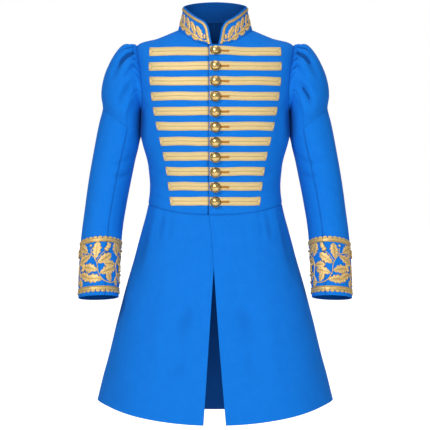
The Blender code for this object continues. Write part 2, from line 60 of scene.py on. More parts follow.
camera = bpy.data.objects.new("camera", bpy.data.cameras.new("camera"))
camera.data.sensor_width = 36
camera.data.lens = 209
camera.location = AIM + Vector((0, -math.cos(ELEVATION), math.sin(ELEVATION))) * DISTANCE
camera.rotation_euler = (AIM - camera.location).to_track_quat("-Z", "Y").to_euler()
scene.collection.objects.link(camera)
scene.camera = camera


def add_node(tree, kind, sockets=None, **settings):
    """Add a node, give it its settings, and fill its sockets with values or with other nodes' outputs."""
    made = tree.nodes.new(kind)
    for name, value in settings.items():
        setattr(made, name, value)
    for name, value in (sockets or {}).items():
        if isinstance(value, bpy.types.NodeSocket):
            tree.links.new(value, made.inputs[name])
        else:
            made.inputs[name].default_value = value
    return made


def new_material(name):
    made = bpy.data.materials.new(name)
    made.use_nodes = True
    return made, made.node_tree, made.node_tree.nodes["Principled BSDF"]


def set_sockets(shader, **values):
    for name, value in values.items():
        shader.inputs[name.replace("_", " ")].default_value = value


def add_lamp(name, place, size, power):
    lamp = bpy.data.objects.new(name, bpy.data.lights.new(name, "AREA"))
    lamp.data.shape = "RECTANGLE"
    lamp.data.size, lamp.data.size_y = size
    lamp.data.energy = power
    lamp.location = place
    lamp.rotation_euler = (AIM - Vector(place)).to_track_quat("-Z", "Y").to_euler()
    scene.collection.objects.link(lamp)
    return lamp


add_lamp("key_lamp", (-1.8, -3.5, 2.1), (1.3, 1.4), 132)
fill_lamp = add_lamp("fill_lamp", (2.0, -4.2, -0.2), (1.6, 2.0), 86)
fill_lamp.visible_glossy = False
add_lamp("top_lamp", (0.0, 0.4, 3.2), (2.4, 1.6), 30)
add_lamp("back_lamp", (0.5, 4.0, 1.2), (3.0, 2.5), 60)

world = bpy.data.worlds.new("studio")
world.use_nodes = True
scene.world = world
room = world.node_tree
room.nodes.clear()
seen = add_node(room, "ShaderNodeLightPath").outputs["Is Camera Ray"]
white = add_node(room, "ShaderNodeBackground", {"Color": (1, 1, 1, 1), "Strength": 1.0})
dim = add_node(room, "ShaderNodeBackground", {"Color": (0.93, 0.96, 1.0, 1), "Strength": 0.24})
mixed = add_node(room, "ShaderNodeMixShader", {0: seen, 1: dim.outputs[0], 2: white.outputs[0]})
add_node(room, "ShaderNodeOutputWorld", {"Surface": mixed.outputs[0]})

FLOOR_Z = -1.45
bpy.ops.object.select_all(action="DESELECT")
bpy.ops.mesh.primitive_plane_add(size=60, location=(0, 0, FLOOR_Z))
floor = bpy.context.object
floor.name = "floor"
floor_paint, paint_nodes, paint = new_material("pale_floor")
set_sockets(paint, Base_Color=(0.93, 0.93, 0.93, 1), Roughness=0.9, Emission_Color=(1, 1, 1, 1))
seen = add_node(paint_nodes, "ShaderNodeLightPath").outputs["Is Camera Ray"]
paint_nodes.links.new(seen, paint.inputs["Emission Strength"])
floor.data.materials.append(floor_paint)
print("camera at", tuple(round(v, 3) for v in camera.location))

# %% [markdown]
# ## Wool
# The coat is fulled broadcloth: its weave is felted over, so what shows is a fine, soft nap and a faint
# unevenness of the dye. Patterns of noise do that, in the coat's own coordinates, which makes them the same
# size on every panel. The nap is used on the outside, on the inside and on the sewing thread, so it is a node
# group with a name for each of its controls. Every piece also keeps a painted shade from 0 to 1 for each of its
# points, laid in seams, grooves and folds and where shade falls, and every finish is painted darker there.

# %% Nodes that come often
def add_noise(tree, place, scale, **sockets):
    return add_node(tree, "ShaderNodeTexNoise", {"Vector": place, "Scale": scale, **sockets}).outputs[0]


def add_mix(tree, share, first, second):
    """The first value with a share of the second."""
    sockets = {"Factor": share, "A": first, "B": second}
    return add_node(tree, "ShaderNodeMix", sockets, data_type="FLOAT").outputs[0]


def add_math(tree, operation, *values):
    return add_node(tree, "ShaderNodeMath", dict(enumerate(values)), operation=operation).outputs[0]


def add_ramp(tree, value, start, end, dark, light):
    """A colour that goes from dark to light as the value goes from start to end."""
    ramp = add_node(tree, "ShaderNodeValToRGB", {"Fac": value})
    for element, position, colour in zip(ramp.color_ramp.elements, (start, end), (dark, light)):
        element.position, element.color = position, (*colour, 1)
    return ramp.outputs["Color"]


def new_group(name, inputs):
    """A node group that gives a Shade for the colour and a Height for the relief."""
    group = bpy.data.node_groups.new(name, "ShaderNodeTree")
    for label, value in inputs.items():
        socket = group.interface.new_socket(name=label, in_out="INPUT", socket_type="NodeSocketFloat")
        socket.default_value = value
    for label in ("Shade", "Height"):
        group.interface.new_socket(name=label, in_out="OUTPUT", socket_type="NodeSocketFloat")
    return group, add_node(group, "NodeGroupInput"), add_node(group, "NodeGroupOutput")


# where a mix node keeps its two colours and their result
MIX_FIRST, MIX_SECOND, MIX_RESULT = 6, 7, 2


def give_finish(tree, shader, colour, shadow, amount, height, strength, depth):
    """Join a colour, darkened towards the shadow in the recesses, and a relief to the shader."""
    # Painted shade: each piece's amount mixes the colour towards a shadow colour.
    deep = add_node(tree, "ShaderNodeAttribute", attribute_name="painted_shade").outputs["Fac"]
    share = add_math(tree, "MULTIPLY", deep, amount)
    sockets = {"Factor": share, MIX_FIRST: colour, MIX_SECOND: (*shadow, 1)}
    mixed = add_node(tree, "ShaderNodeMix", sockets, data_type="RGBA")
    relief = add_node(tree, "ShaderNodeBump", {"Height": height, "Strength": strength, "Distance": depth})
    tree.links.new(mixed.outputs[MIX_RESULT], shader.inputs["Base Color"])
    tree.links.new(relief.outputs["Normal"], shader.inputs["Normal"])


# %% The nap as a node group, and the wool
def build_nap():
    group, given, result = new_group("wool nap", {"Fibre size": 900.0, "Patch size": 45.0, "Unevenness": 0.5})
    place = add_node(group, "ShaderNodeTexCoord").outputs["Object"]
    fibre = add_noise(group, place, given.outputs["Fibre size"], Detail=4.0, Roughness=0.7)
    patch = add_noise(group, place, given.outputs["Patch size"], Detail=6.0, Roughness=0.62)
    grain = add_noise(group, place, 330.0, Detail=2.0, Roughness=0.6, Distortion=0.4)
    both = add_mix(group, 0.35, add_mix(group, 0.55, patch, grain), fibre)
    group.links.new(add_mix(group, given.outputs["Unevenness"], 0.5, both), result.inputs["Shade"])
    group.links.new(add_mix(group, 0.45, fibre, grain), result.inputs["Height"])
    return group


NAP = build_nap()
WOOL_SHADOW = (0.001, 0.03, 0.18)


def wool(name, dark, light, nap_depth, sheen, sheen_tint):
    made, tree, shader = new_material(name)
    nap = add_node(tree, "ShaderNodeGroup", {"Unevenness": 1.0}, node_tree=NAP)
    colour = add_ramp(tree, nap.outputs["Shade"], 0.30, 0.70, dark, light)
    give_finish(tree, shader, colour, WOOL_SHADOW, 0.85, nap.outputs["Height"], 0.35, nap_depth)
    set_sockets(shader, Roughness=0.88, Specular_IOR_Level=0.12)
    set_sockets(shader, Sheen_Weight=sheen, Sheen_Roughness=0.45, Sheen_Tint=(*sheen_tint, 1))
    return made


# The second wool is a darker copy of the same wool for the inner faces: painted shade for the inside of the
# coat.
BLUE_WOOL, BLUE_INSIDE_SHADED, BLUE_THREAD = (
    wool(*row)
    for row in (
        ("blue_wool", (0.0028, 0.138, 0.560), (0.0060, 0.178, 0.660), 0.0006, 0.10, (0.10, 0.35, 1.0)),
        ("blue_wool_inside_shaded", (0.0012, 0.050, 0.240), (0.0026, 0.078, 0.330), 0.0004, 0.05, (0.10, 0.35, 1.0)),
        ("blue_sewing_thread", (0.002, 0.09, 0.42), (0.004, 0.13, 0.55), 0.0001, 0.0, (0.1, 0.3, 1.0)),
    )
)
print("wool finishes:", BLUE_WOOL.name, BLUE_INSIDE_SHADED.name, BLUE_THREAD.name)

# %% [markdown]
# ## Metal thread
# Gold lace is woven from flattened gilt wire over silk, so it has fine ribs across its length and long satin
# floats along it. The needlework is the same wire laid side by side over padding. Both patterns have to turn
# with the piece, so they read a UV map that each piece carries, in metres: U along the threads' run, V across.

# %% The thread pattern as a node group, and the gold finishes
def build_threads():
    group, given, result = new_group("metal threads", {"Threads": 1100.0, "Ribs": 1500.0, "Streaks": 0.5})
    place = add_node(group, "ShaderNodeUVMap", uv_map="cut").outputs["UV"]
    split = add_node(group, "ShaderNodeSeparateXYZ", {"Vector": place})
    waves = []
    for axis, control in (("Y", "Threads"), ("X", "Ribs")):
        scaled = add_math(group, "MULTIPLY", split.outputs[axis], given.outputs[control])
        wave = add_math(group, "SINE", add_math(group, "MULTIPLY", scaled, 2 * math.pi))
        waves.append(add_math(group, "MULTIPLY_ADD", wave, 0.5, 0.5))
    stretched = add_node(group, "ShaderNodeMapping", {"Vector": place, "Scale": (38.0, 620.0, 1.0)})
    streak = add_noise(group, stretched.outputs[0], 1.0, Detail=4.0)
    woven = add_mix(group, 0.4, *waves)
    group.links.new(add_mix(group, given.outputs["Streaks"], woven, streak), result.inputs["Shade"])
    group.links.new(woven, result.inputs["Height"])
    return group


THREADS = build_threads()


def gold_thread(name, dark, light, threads, ribs, streaks, depth, roughness, metallic):
    made, tree, shader = new_material(name)
    sockets = {"Threads": threads, "Ribs": ribs, "Streaks": streaks}
    laid = add_node(tree, "ShaderNodeGroup", sockets, node_tree=THREADS)
    colour = add_ramp(tree, laid.outputs["Shade"], 0.22, 0.70, dark, light)
    shadow = (dark[0] * 0.30, dark[1] * 0.24, dark[2] * 0.18)
    give_finish(tree, shader, colour, shadow, 0.9, laid.outputs["Height"], 0.5, depth)
    set_sockets(shader, Roughness=roughness, Metallic=metallic, Specular_IOR_Level=0.4)
    return made


# name, dark, light, threads and ribs to the metre, streaks, depth of the ribs, roughness, metallic
GOLD_LACE, COLLAR_GOLD, CUFF_GOLD, GOLD_WORK, HOLE_SILK = (
    gold_thread(*row)
    for row in (
        ("gold_lace_weave", (0.54, 0.380, 0.145), (0.83, 0.645, 0.315), 700, 900, 0.45, 0.0002, 0.58, 0.15),
        ("collar_lace_weave", (0.40, 0.24, 0.06), (0.84, 0.60, 0.25), 500, 450, 0.30, 0.0003, 0.46, 0.30),
        ("cuff_lace_weave", (0.46, 0.28, 0.07), (0.86, 0.60, 0.24), 600, 500, 0.40, 0.0003, 0.40, 0.35),
        ("gold_needlework", (0.54, 0.32, 0.08), (1.0, 0.70, 0.29), 900, 300, 0.35, 0.0003, 0.42, 0.25),
        ("buttonhole_silk", (0.34, 0.13, 0.012), (0.60, 0.27, 0.04), 2500, 600, 0.30, 0.0001, 0.50, 0.10),
    )
)


def polished_brass():
    made, tree, shader = new_material("polished_brass")
    place = add_node(tree, "ShaderNodeTexCoord").outputs["Object"]
    cloud = add_noise(tree, place, 160.0, Detail=3.0)
    scratch = add_noise(tree, place, 420.0, Detail=2.0)
    colour = add_ramp(tree, cloud, 0.0, 1.0, (0.88, 0.57, 0.19), (0.98, 0.72, 0.30))
    # Painted shade: the buttons' dark ring at the rim mixes towards this near-black brown.
    give_finish(tree, shader, colour, (0.10, 0.05, 0.012), 0.9, scratch, 0.01, 0.0001)
    rough = add_node(tree, "ShaderNodeMapRange", {"Value": scratch, "To Min": 0.27, "To Max": 0.31})
    tree.links.new(rough.outputs[0], shader.inputs["Roughness"])
    set_sockets(shader, Metallic=0.96)
    return made


BRASS = polished_brass()

# %% [markdown]
# ## The coat's measurements
# The plain model was drawn from these tables: rings round the body from the waist to the neck, rings of the
# skirt, and rings down the sleeve. A smooth curve runs through each column, so the same tables give the fine
# surface that the cloth needs. The wearer's left half is worked out, and the right half is its mirror image.

# %% Tables of rings
CLOTH, COLLAR_CLOTH, LACE = 0.0020, 0.0030, 0.0009
SEAM = 0.0003
LAP_LIFT, LAP_START, LAP_FADE = CLOTH + 3 * SEAM, 0.012, 0.050
EDGE_X = -0.0142
ARMPIT, SHOULDER = 0.55, 0.85
ARMHOLE_CUT, ARMHOLE_OVAL = (22, 24), 2.4
SIDE_SEAM_WAIST, SLEEVE_SEAM = math.radians(102), math.radians(112)
ARMHOLE_CENTRE, ARMHOLE_TUCK = np.array((0.180, 0.0, -0.115)), -0.0006
# level, half width, side z, front y, front z, back y, back z, squareness
BODICE_RINGS = (
    (0.00, 0.1608, -0.4166, -0.1060, -0.4405, 0.0880, -0.4200, 2.30),
    (0.12, 0.1562, -0.3744, -0.1045, -0.3900, 0.0840, -0.3740, 2.30),
    (0.28, 0.1630, -0.3168, -0.1130, -0.3270, 0.0950, -0.3130, 2.35),
    (0.42, 0.1770, -0.2592, -0.1225, -0.2640, 0.1080, -0.2500, 2.40),
    (0.55, 0.1776, -0.1920, -0.1270, -0.2000, 0.1160, -0.1800, 2.40),
    (0.65, 0.1850, -0.1500, -0.1255, -0.1640, 0.1170, -0.1380, 2.35),
    (0.75, 0.1900, -0.1020, -0.1200, -0.1270, 0.1130, -0.0930, 2.20),
    (0.85, 0.1872, -0.0385, -0.1060, -0.0820, 0.0990, -0.0380, 2.00),
    (0.92, 0.1370, -0.0205, -0.0930, -0.0600, 0.0810, -0.0090, 2.00),
    (1.00, 0.0886, 0.0000, -0.0780, -0.0385, 0.0620, 0.0215, 2.00),
)
SKIRT_RINGS = (
    (0.00, 0.1608, -0.4166, -0.1060, -0.4405, 0.0880, -0.4200, 2.30),
    (0.12, 0.1735, -0.4680, -0.1180, -0.4960, 0.1090, -0.4800, 2.25),
    (0.35, 0.2035, -0.5780, -0.1400, -0.6110, 0.1480, -0.6000, 2.20),
    (0.70, 0.2475, -0.7480, -0.1700, -0.7860, 0.1980, -0.7850, 2.15),
    (1.00, 0.2846, -0.8865, -0.1950, -0.9300, 0.2350, -0.9350, 2.10),
)
COLLAR_RINGS = (
    (0.0, 0.0886, 0.0000, -0.0780, -0.0385, 0.0620, 0.0215, 2.00),
    (1.0, 0.0768, 0.0550, -0.0740, 0.0140, 0.0560, 0.0690, 2.00),
)
COLLAR_CREST, COLLAR_LIFT, COLLAR_HOLLOW = 1.1, 3.5 * SEAM, 0.0012
COLLAR_END_X, COLLAR_CORNER = (0.0070, 0.0180), (0.62, 0.0150)
# ring, outer x, outer z, inner x, inner z, centre y, half depth, pitch forwards
SLEEVE_RINGS = (
    (1, 0.1997, -0.0319, 0.1792, -0.1950, 0.000, 0.0580, 0),
    (2, 0.2213, -0.0355, 0.1793, -0.2005, 0.000, 0.0635, 0),
    (3, 0.2441, -0.0600, 0.1792, -0.2088, 0.001, 0.0690, 0),
    (4, 0.2621, -0.0960, 0.1792, -0.2184, 0.002, 0.0730, 0),
    (5, 0.2717, -0.1320, 0.1793, -0.2304, 0.003, 0.0730, 0),
    (6, 0.2741, -0.1600, 0.1795, -0.2424, 0.004, 0.0695, 0),
    (7, 0.2707, -0.1882, 0.1803, -0.2568, 0.005, 0.0640, 0),
    (8, 0.2777, -0.2208, 0.1838, -0.2808, 0.006, 0.0650, 0),
    (9, 0.2878, -0.2712, 0.1908, -0.3096, 0.007, 0.0635, 0),
    (10, 0.2969, -0.3192, 0.1985, -0.3456, 0.007, 0.0620, 2),
    (11, 0.3048, -0.3696, 0.2066, -0.3840, 0.004, 0.0600, 6),
    (12, 0.3120, -0.4176, 0.2138, -0.4224, -0.003, 0.0580, 10),
    (13, 0.3178, -0.4656, 0.2204, -0.4640, -0.014, 0.0550, 15),
    (14, 0.3221, -0.5112, 0.2246, -0.5075, -0.027, 0.0520, 20),
    (15, 0.3240, -0.5568, 0.2270, -0.5520, -0.041, 0.0500, 18),
    (16, 0.3254, -0.6030, 0.2288, -0.5990, -0.054, 0.0485, 14),
    (17, 0.3262, -0.6400, 0.2298, -0.6370, -0.064, 0.0480, 10.5),
)
HEAD_END, CUFF_END = 7, 17
CUFF_LACE_RINGS = ((14.00, 14.30), (16.45, 16.82))
# level, x of the left and of the right front edge
SKIRT_EDGES = (
    (0.00, -0.0142, 0.0142),
    (0.10, -0.0085, 0.0035),
    (0.275, -0.0022, -0.0045),
    (0.60, 0.0092, -0.0152),
    (1.00, 0.0254, -0.0280),
)
FLUTES = ((38, 0.0030, 12), (68, -0.0025, 13), (112, 0.0050, 14), (150, -0.0060, 15))
BAR_REACH = (0.1560, 0.1568, 0.1548, 0.1505, 0.1452, 0.1386, 0.1302, 0.1220, 0.1156, 0.1106, 0.1064)
BAR_TOP_Z, BAR_PITCH, BAR_HEIGHT = -0.0545, 0.03545, 0.0200
BUTTON_RADIUS, BUTTON_DOME, BUTTON_X, BUTTON_DROP = 0.0127, 0.0098, 0.0008, 0.0014


# %% Smooth curves through the tables
def along(table, column, at):
    """The value of a column at places along a table, on a smooth curve through its rows."""
    at = np.asarray(at, float)
    keys = np.array([row[0] for row in table], float)
    values = np.array([row[column] for row in table], float)
    last = len(keys) - 1
    i = np.clip(np.searchsorted(keys, at, side="right") - 1, 0, last - 1)
    before, after = np.maximum(0, i - 1), np.minimum(last, i + 2)
    span = keys[i + 1] - keys[i]
    t = (at - keys[i]) / span
    near, far = values[i], values[i + 1]
    slope_near = (far - values[before]) / (keys[i + 1] - keys[before]) * span
    slope_far = (values[after] - near) / (keys[after] - keys[i]) * span
    t2, t3 = t * t, t * t * t
    return (
        (2 * t3 - 3 * t2 + 1) * near + (t3 - 2 * t2 + t) * slope_near
        + (3 * t2 - 2 * t3) * far + (t3 - t2) * slope_far
    )


def ring_point(table, angle, level, crest=2.0):
    """Points of the rings. angle is 0 at the centre front, positive towards +X, 180 degrees behind."""
    level = np.clip(level, table[0][0], table[-1][0])
    half, side_z, front_y, front_z, back_y, back_z, square = (along(table, i, level) for i in range(1, 8))
    across, forwards = np.sin(angle), np.cos(angle)
    depth = np.abs(forwards) ** (2 / square)
    in_front = forwards > 0
    x = half * np.sign(across) * np.abs(across) ** (2 / square)
    y = np.where(in_front, front_y, back_y) * depth
    rise = np.where(in_front, depth**2, depth**crest)
    z = side_z + (np.where(in_front, front_z, back_z) - side_z) * rise
    return np.stack(np.broadcast_arrays(x, y, z), -1)


def angle_of_x(table, level, x):
    """The angle at which the front half of a ring has that X."""
    half, square = along(table, 1, level), along(table, 7, level)
    return np.sign(x) * np.arcsin(np.minimum(1.0, np.abs(x) / half) ** (square / 2))


SIDES = ((1, "left"), (-1, "right"))
LEVEL, UPRIGHT = np.array((1, 1, 0)), np.array((0, 0, 1))


def mirror_of(side):
    """What a drawing on the +X side is multiplied by: 1 keeps it there, -1 mirrors it."""
    return np.array((side, 1, 1))


def unit(vectors):
    return vectors / (np.linalg.norm(vectors, axis=-1, keepdims=True) + 1e-15)


def walked_along(points):
    """The distance from the first point to each point of a line."""
    return np.concatenate([[0], np.cumsum(np.linalg.norm(np.diff(points, axis=0), axis=1))])


def wrapped_degrees(angle):
    """An angle in degrees, from -180 to 180."""
    return np.degrees(np.arctan2(np.sin(angle), np.cos(angle)))


def normals_of(surface, u, v, inside):
    """Unit normals of surface(u, v), pointing away from the points inside."""
    step = 1e-3
    du = surface(u + step, v) - surface(u - step, v)
    dv = surface(u, v + step) - surface(u, v - step)
    found = unit(np.cross(du, dv))
    outwards = np.sum(found * (surface(u, v) - inside), axis=-1, keepdims=True)
    return np.where(outwards > 0, found, -found)


def smooth(t):
    t = np.clip(t, 0.0, 1.0)
    return t * t * (3 - 2 * t)


def hump(distance, half_width):
    return np.exp(-((distance / half_width) ** 2))


# %% [markdown]
# ## Surfaces of the body, the skirt, the sleeve and the collar
# Each surface takes two numbers for a place on it and gives the point in space, and its normal. The left front
# laps over the right one, so it is lifted by a little more than a cloth's thickness near the centre.

# %% Bodice and skirt
def bodice(angle, level):
    return ring_point(BODICE_RINGS, angle, np.clip(level, 0, 1))


def bodice_normal(angle, level):
    level = np.clip(level, 0.001, 0.999)
    point = bodice(angle, level)
    inside = np.stack([point[..., 0] * 0.5, point[..., 0] * 0, point[..., 2] - 0.08], -1)
    return normals_of(bodice, angle, level, inside)


def skirt(angle, level):
    point = ring_point(SKIRT_RINGS, angle, np.clip(level, 0, 1))
    outwards = unit(point * LEVEL)
    degrees = wrapped_degrees(angle)
    wave = 0.0
    for place, depth, half_width in FLUTES:
        wave = wave + depth * (hump(degrees - place, half_width) + hump(degrees + place, half_width))
    return point + outwards * (wave * np.maximum(0.0, level) ** 1.5)[..., None]


def skirt_normal(angle, level):
    point = skirt(angle, level)
    found = normals_of(skirt, angle, np.clip(level, 0.001, 0.999), point * UPRIGHT)
    waist = (np.asarray(level) <= 0)[..., None]
    return np.where(waist, bodice_normal(angle, np.zeros_like(angle)), found)


def lap(x):
    return LAP_LIFT * (1 - smooth((x - LAP_START) / LAP_FADE))


def lapped(points, normals, side):
    """The points, lifted where the left front laps over the right."""
    return points + normals * lap(points[..., 0])[..., None] if side > 0 else points


def front_place(angle, level, side):
    """Point and normal of a front, drawn on the +X side and mirrored for the wearer's right."""
    point, normal = bodice(angle, level), bodice_normal(angle, level)
    return lapped(point, normal, side) * mirror_of(side), normal * mirror_of(side)


HALVINGS = 34


def front_at(x, z, side):
    """Point and normal of a front at an X and Z seen from the front, x counted towards that side."""
    x, z = np.broadcast_arrays(np.asarray(x, float), np.asarray(z, float))
    low, high = np.zeros_like(x), np.ones_like(x)
    for _ in range(HALVINGS):
        middle = (low + high) / 2
        above = bodice(angle_of_x(BODICE_RINGS, middle, x), middle)[..., 2] > z
        low, high = np.where(above, low, middle), np.where(above, middle, high)
    return front_place(angle_of_x(BODICE_RINGS, low, x), low, side)


# %% Sleeve
def armhole_angles(level):
    u = np.clip((level - ARMPIT) / (SHOULDER - ARMPIT), 0, 1)
    oval = np.sqrt(np.maximum(0.0, 1 - np.abs(2 * u - 1) ** ARMHOLE_OVAL))
    return np.radians(90 - ARMHOLE_CUT[0] * oval), np.radians(90 + ARMHOLE_CUT[1] * oval)


def armhole(turn, spread):
    level = ARMPIT + (1 + np.cos(turn)) / 2 * (SHOULDER - ARMPIT)
    front, back = armhole_angles(level)
    angle = np.where(np.sin(turn) >= 0, front, back)
    point, normal = bodice(angle, level), bodice_normal(angle, level)
    outwards = point - ARMHOLE_CENTRE
    outwards = unit(outwards - normal * np.sum(outwards * normal, axis=-1, keepdims=True))
    return point + normal * ARMHOLE_TUCK + outwards * spread


def sleeve_ring(turn, station):
    columns = (along(SLEEVE_RINGS, i, station) for i in range(1, 8))
    outer_x, outer_z, inner_x, inner_z, centre_y, depth, pitch = columns
    pitch = np.radians(pitch)
    forwards, swing = depth * np.sin(turn), np.cos(turn)
    x = (outer_x + inner_x) / 2 + (outer_x - inner_x) / 2 * swing
    z = (outer_z + inner_z) / 2 + (outer_z - inner_z) / 2 * swing + forwards * np.sin(pitch)
    return np.stack(np.broadcast_arrays(x, centre_y - forwards * np.cos(pitch), z), -1)


def sleeve_axis(station):
    station = np.maximum(1.0, station)
    outer, inner = (sleeve_ring(np.full_like(station, turn), station) for turn in (0, math.pi))
    return (outer + inner) / 2


def sleeve(turn, station):
    """The left sleeve, from the armhole at station 0. turn is 0 on its outermost line, 90 degrees in front."""
    turn, station = np.broadcast_arrays(np.asarray(turn, float), np.asarray(station, float))
    station = np.clip(station, 0.0, CUFF_END)
    far = sleeve_ring(turn, np.maximum(1.0, station))
    near = armhole(turn, CLOTH / 2)
    share = np.sin(np.clip(station, 0, 1) * math.pi / 2)[..., None]
    return np.where((station >= 1)[..., None], far, near + (far - near) * share)


def sleeve_normal(turn, station):
    turn, station = np.broadcast_arrays(np.asarray(turn, float), np.asarray(station, float))
    station = np.clip(station, 0.05, CUFF_END - 0.002)
    return normals_of(sleeve, turn, station, sleeve_axis(station))


# %% Collar
def collar(angle, height):
    angle, height = np.broadcast_arrays(np.asarray(angle, float), np.asarray(height, float))
    base = ring_point(COLLAR_RINGS, angle, np.zeros_like(angle))
    top = ring_point(COLLAR_RINGS, angle, np.ones_like(angle), COLLAR_CREST)
    lift = COLLAR_LIFT + np.where(base[..., 1] < 0, lap(np.abs(base[..., 0])), 0)
    base = base + bodice_normal(angle, np.full_like(angle, 0.995)) * lift[..., None]
    hollow = unit(base * LEVEL) * (COLLAR_HOLLOW * np.sin(math.pi * height))[..., None]
    return base + (top - base) * height[..., None] - hollow


def collar_normal(angle, height):
    point = collar(angle, height)
    return normals_of(collar, angle, np.clip(height, 0.001, 0.999), point * UPRIGHT)


def collar_end(height, inset=0.0):
    """The angle of the collar's front edge at a height, or of a line inside it. Its upper corner is rounded."""
    height = np.minimum(1.0, height)
    start, reach = COLLAR_CORNER
    x = COLLAR_END_X[0] + (COLLAR_END_X[1] - COLLAR_END_X[0]) * height**0.8 + inset
    t = np.maximum(0.0, (height - start) / (1 - start))
    return (x + reach * (1 - np.sqrt(np.maximum(0.0, 1 - t * t)))) / abs(COLLAR_RINGS[0][3])


print("collar top, front:", collar(0.3, 1.0).round(4), "cuff, front:", sleeve(math.pi / 2, 17.0).round(4))

# %% [markdown]
# ## How a cloth panel is made
# A panel is a thin closed wall: an outer face, an inner face a cloth's thickness behind it, and a narrow edge.
# Where it is sewn to its neighbour the outer face dips, so that two panels meet in a small valley, as a pressed
# seam does. A free edge is turned over and rounded instead. Folds are drawn as lines, each with its own
# depth and width, and the cloth sinks or rises along them.

# %% The panel maker
def measure(points):
    """Distances along a grid's rows and columns, in metres, from its first row and column."""
    across = np.linalg.norm(np.diff(points, axis=1), axis=-1)
    up = np.linalg.norm(np.diff(points, axis=0), axis=-1)
    u = np.concatenate([np.zeros((len(points), 1)), np.cumsum(across, axis=1)], axis=1)
    v = np.concatenate([np.zeros((1, points.shape[1])), np.cumsum(up, axis=0)], axis=0)
    return u, v


def graded(length, spacing):
    """Places from 0 to 1 along a length: even, with closer ones near both ends for seams and turned edges."""
    close = np.array((0.0, 0.0007, 0.0016, 0.0028, 0.0045))
    middle = np.linspace(close[-1], length - close[-1], max(3, int(round(length / spacing))))
    return np.concatenate([close[:-1], middle, length - close[-2::-1]]) / length


def fold(points, line, depth, width, start=0.0, end=0.0):
    """How far a fold lifts or sinks each point. line has (x, z) or (x, y, z) points; start and end give the
    fold's strength at its two ends, and it is whole in its middle."""
    line = np.asarray(line, float)
    place = points[..., [0, 2]] if line.shape[1] == 2 else points
    lengths = np.linalg.norm(np.diff(line, axis=0), axis=1)
    total = lengths.sum()
    best = np.full(points.shape[:-1], 1e9)
    share = np.zeros(points.shape[:-1])
    walked = 0.0
    for a, b, length in zip(line, line[1:], lengths):
        t = np.clip(np.sum((place - a) * (b - a), axis=-1) / length**2, 0, 1)
        away = np.linalg.norm(place - (a + t[..., None] * (b - a)), axis=-1)
        nearer = away < best
        best = np.where(nearer, away, best)
        share = np.where(nearer, (walked + t * length) / total, share)
        walked += length
    strength = start + (1 - start) * smooth(share / 0.35)
    strength = strength * (end + (1 - end) * smooth((1 - share) / 0.45))
    return depth * strength * hump(best, width)


def hang(points, amount):
    """The slight unevenness of hanging cloth."""
    x, y, z = points[..., 0], points[..., 1], points[..., 2]
    wave = np.sin(31 * x + 9 * z + 1.3) * np.sin(17 * z - 12 * y + 0.4)
    wave = wave + 0.6 * np.sin(53 * z + 21 * x + 2.1) * np.sin(47 * y + 25 * x + 0.7)
    return amount * wave


SEAM_DEPTH, SEAM_WIDTH, SEAM_SHADE = 0.0010, 0.0019, 0.0026
DARKEST_FOLD = 0.46


def dipped(u, v, seams):
    """The valley along the sewn borders of a grid: first_row, last_row, first_column, last_column."""
    away = {
        "first_row": v, "last_row": v.max(axis=0) - v,
        "first_column": u, "last_column": u.max(axis=1)[:, None] - u,
    }
    total = np.zeros_like(u)
    for name in seams:
        total = np.minimum(total, -SEAM_DEPTH * hump(away[name], SEAM_WIDTH))
    return total


def fold_shade(relief, shallow, deep):
    """How dark the bottom of a fold is: nothing in shallow ones, and more in deep ones up to the darkest."""
    return np.clip((-relief - shallow) / deep, 0, DARKEST_FOLD)


def note_painted_shade(mesh, depth):
    """Keep each point's painted shade, from 0 to 1, laid in grooves, seams and folds, for the finishes to
    darken.
    """
    kept = mesh.attributes.new("painted_shade", "FLOAT", "POINT")
    kept.data.foreach_set("value", np.asarray(depth, np.float32))


def make_mesh(name, points, faces, flat, painted_shade, materials, slots=None, sharp=50):
    """An object from points and faces, with flat coordinates and a painted shade for each point."""
    mesh = bpy.data.meshes.new(name)
    mesh.from_pydata(points.tolist(), [], faces)
    layer = mesh.uv_layers.new(name="cut")
    corner = np.empty(len(mesh.loops), dtype=np.int32)
    mesh.loops.foreach_get("vertex_index", corner)
    layer.data.foreach_set("uv", np.asarray(flat, np.float32)[corner].ravel())
    for material in materials:
        mesh.materials.append(material)
    if slots is not None:
        mesh.polygons.foreach_set("material_index", np.asarray(slots, np.int32))
    note_painted_shade(mesh, painted_shade)
    mesh.shade_smooth()
    mesh.set_sharp_from_angle(angle=math.radians(sharp))
    mesh.update()
    made = bpy.data.objects.new(name, mesh)
    scene.collection.objects.link(made)
    return made


def turned_out(points, quads):
    """The quads, turned round if they point into the body that they close."""
    a, b, c, d = (points[quads[:, i]] for i in range(4))
    volume = np.sum(a * (np.cross(b, c) + np.cross(c, d)))
    return quads if volume > 0 else quads[:, ::-1]


HEM_ROUND = 0.32


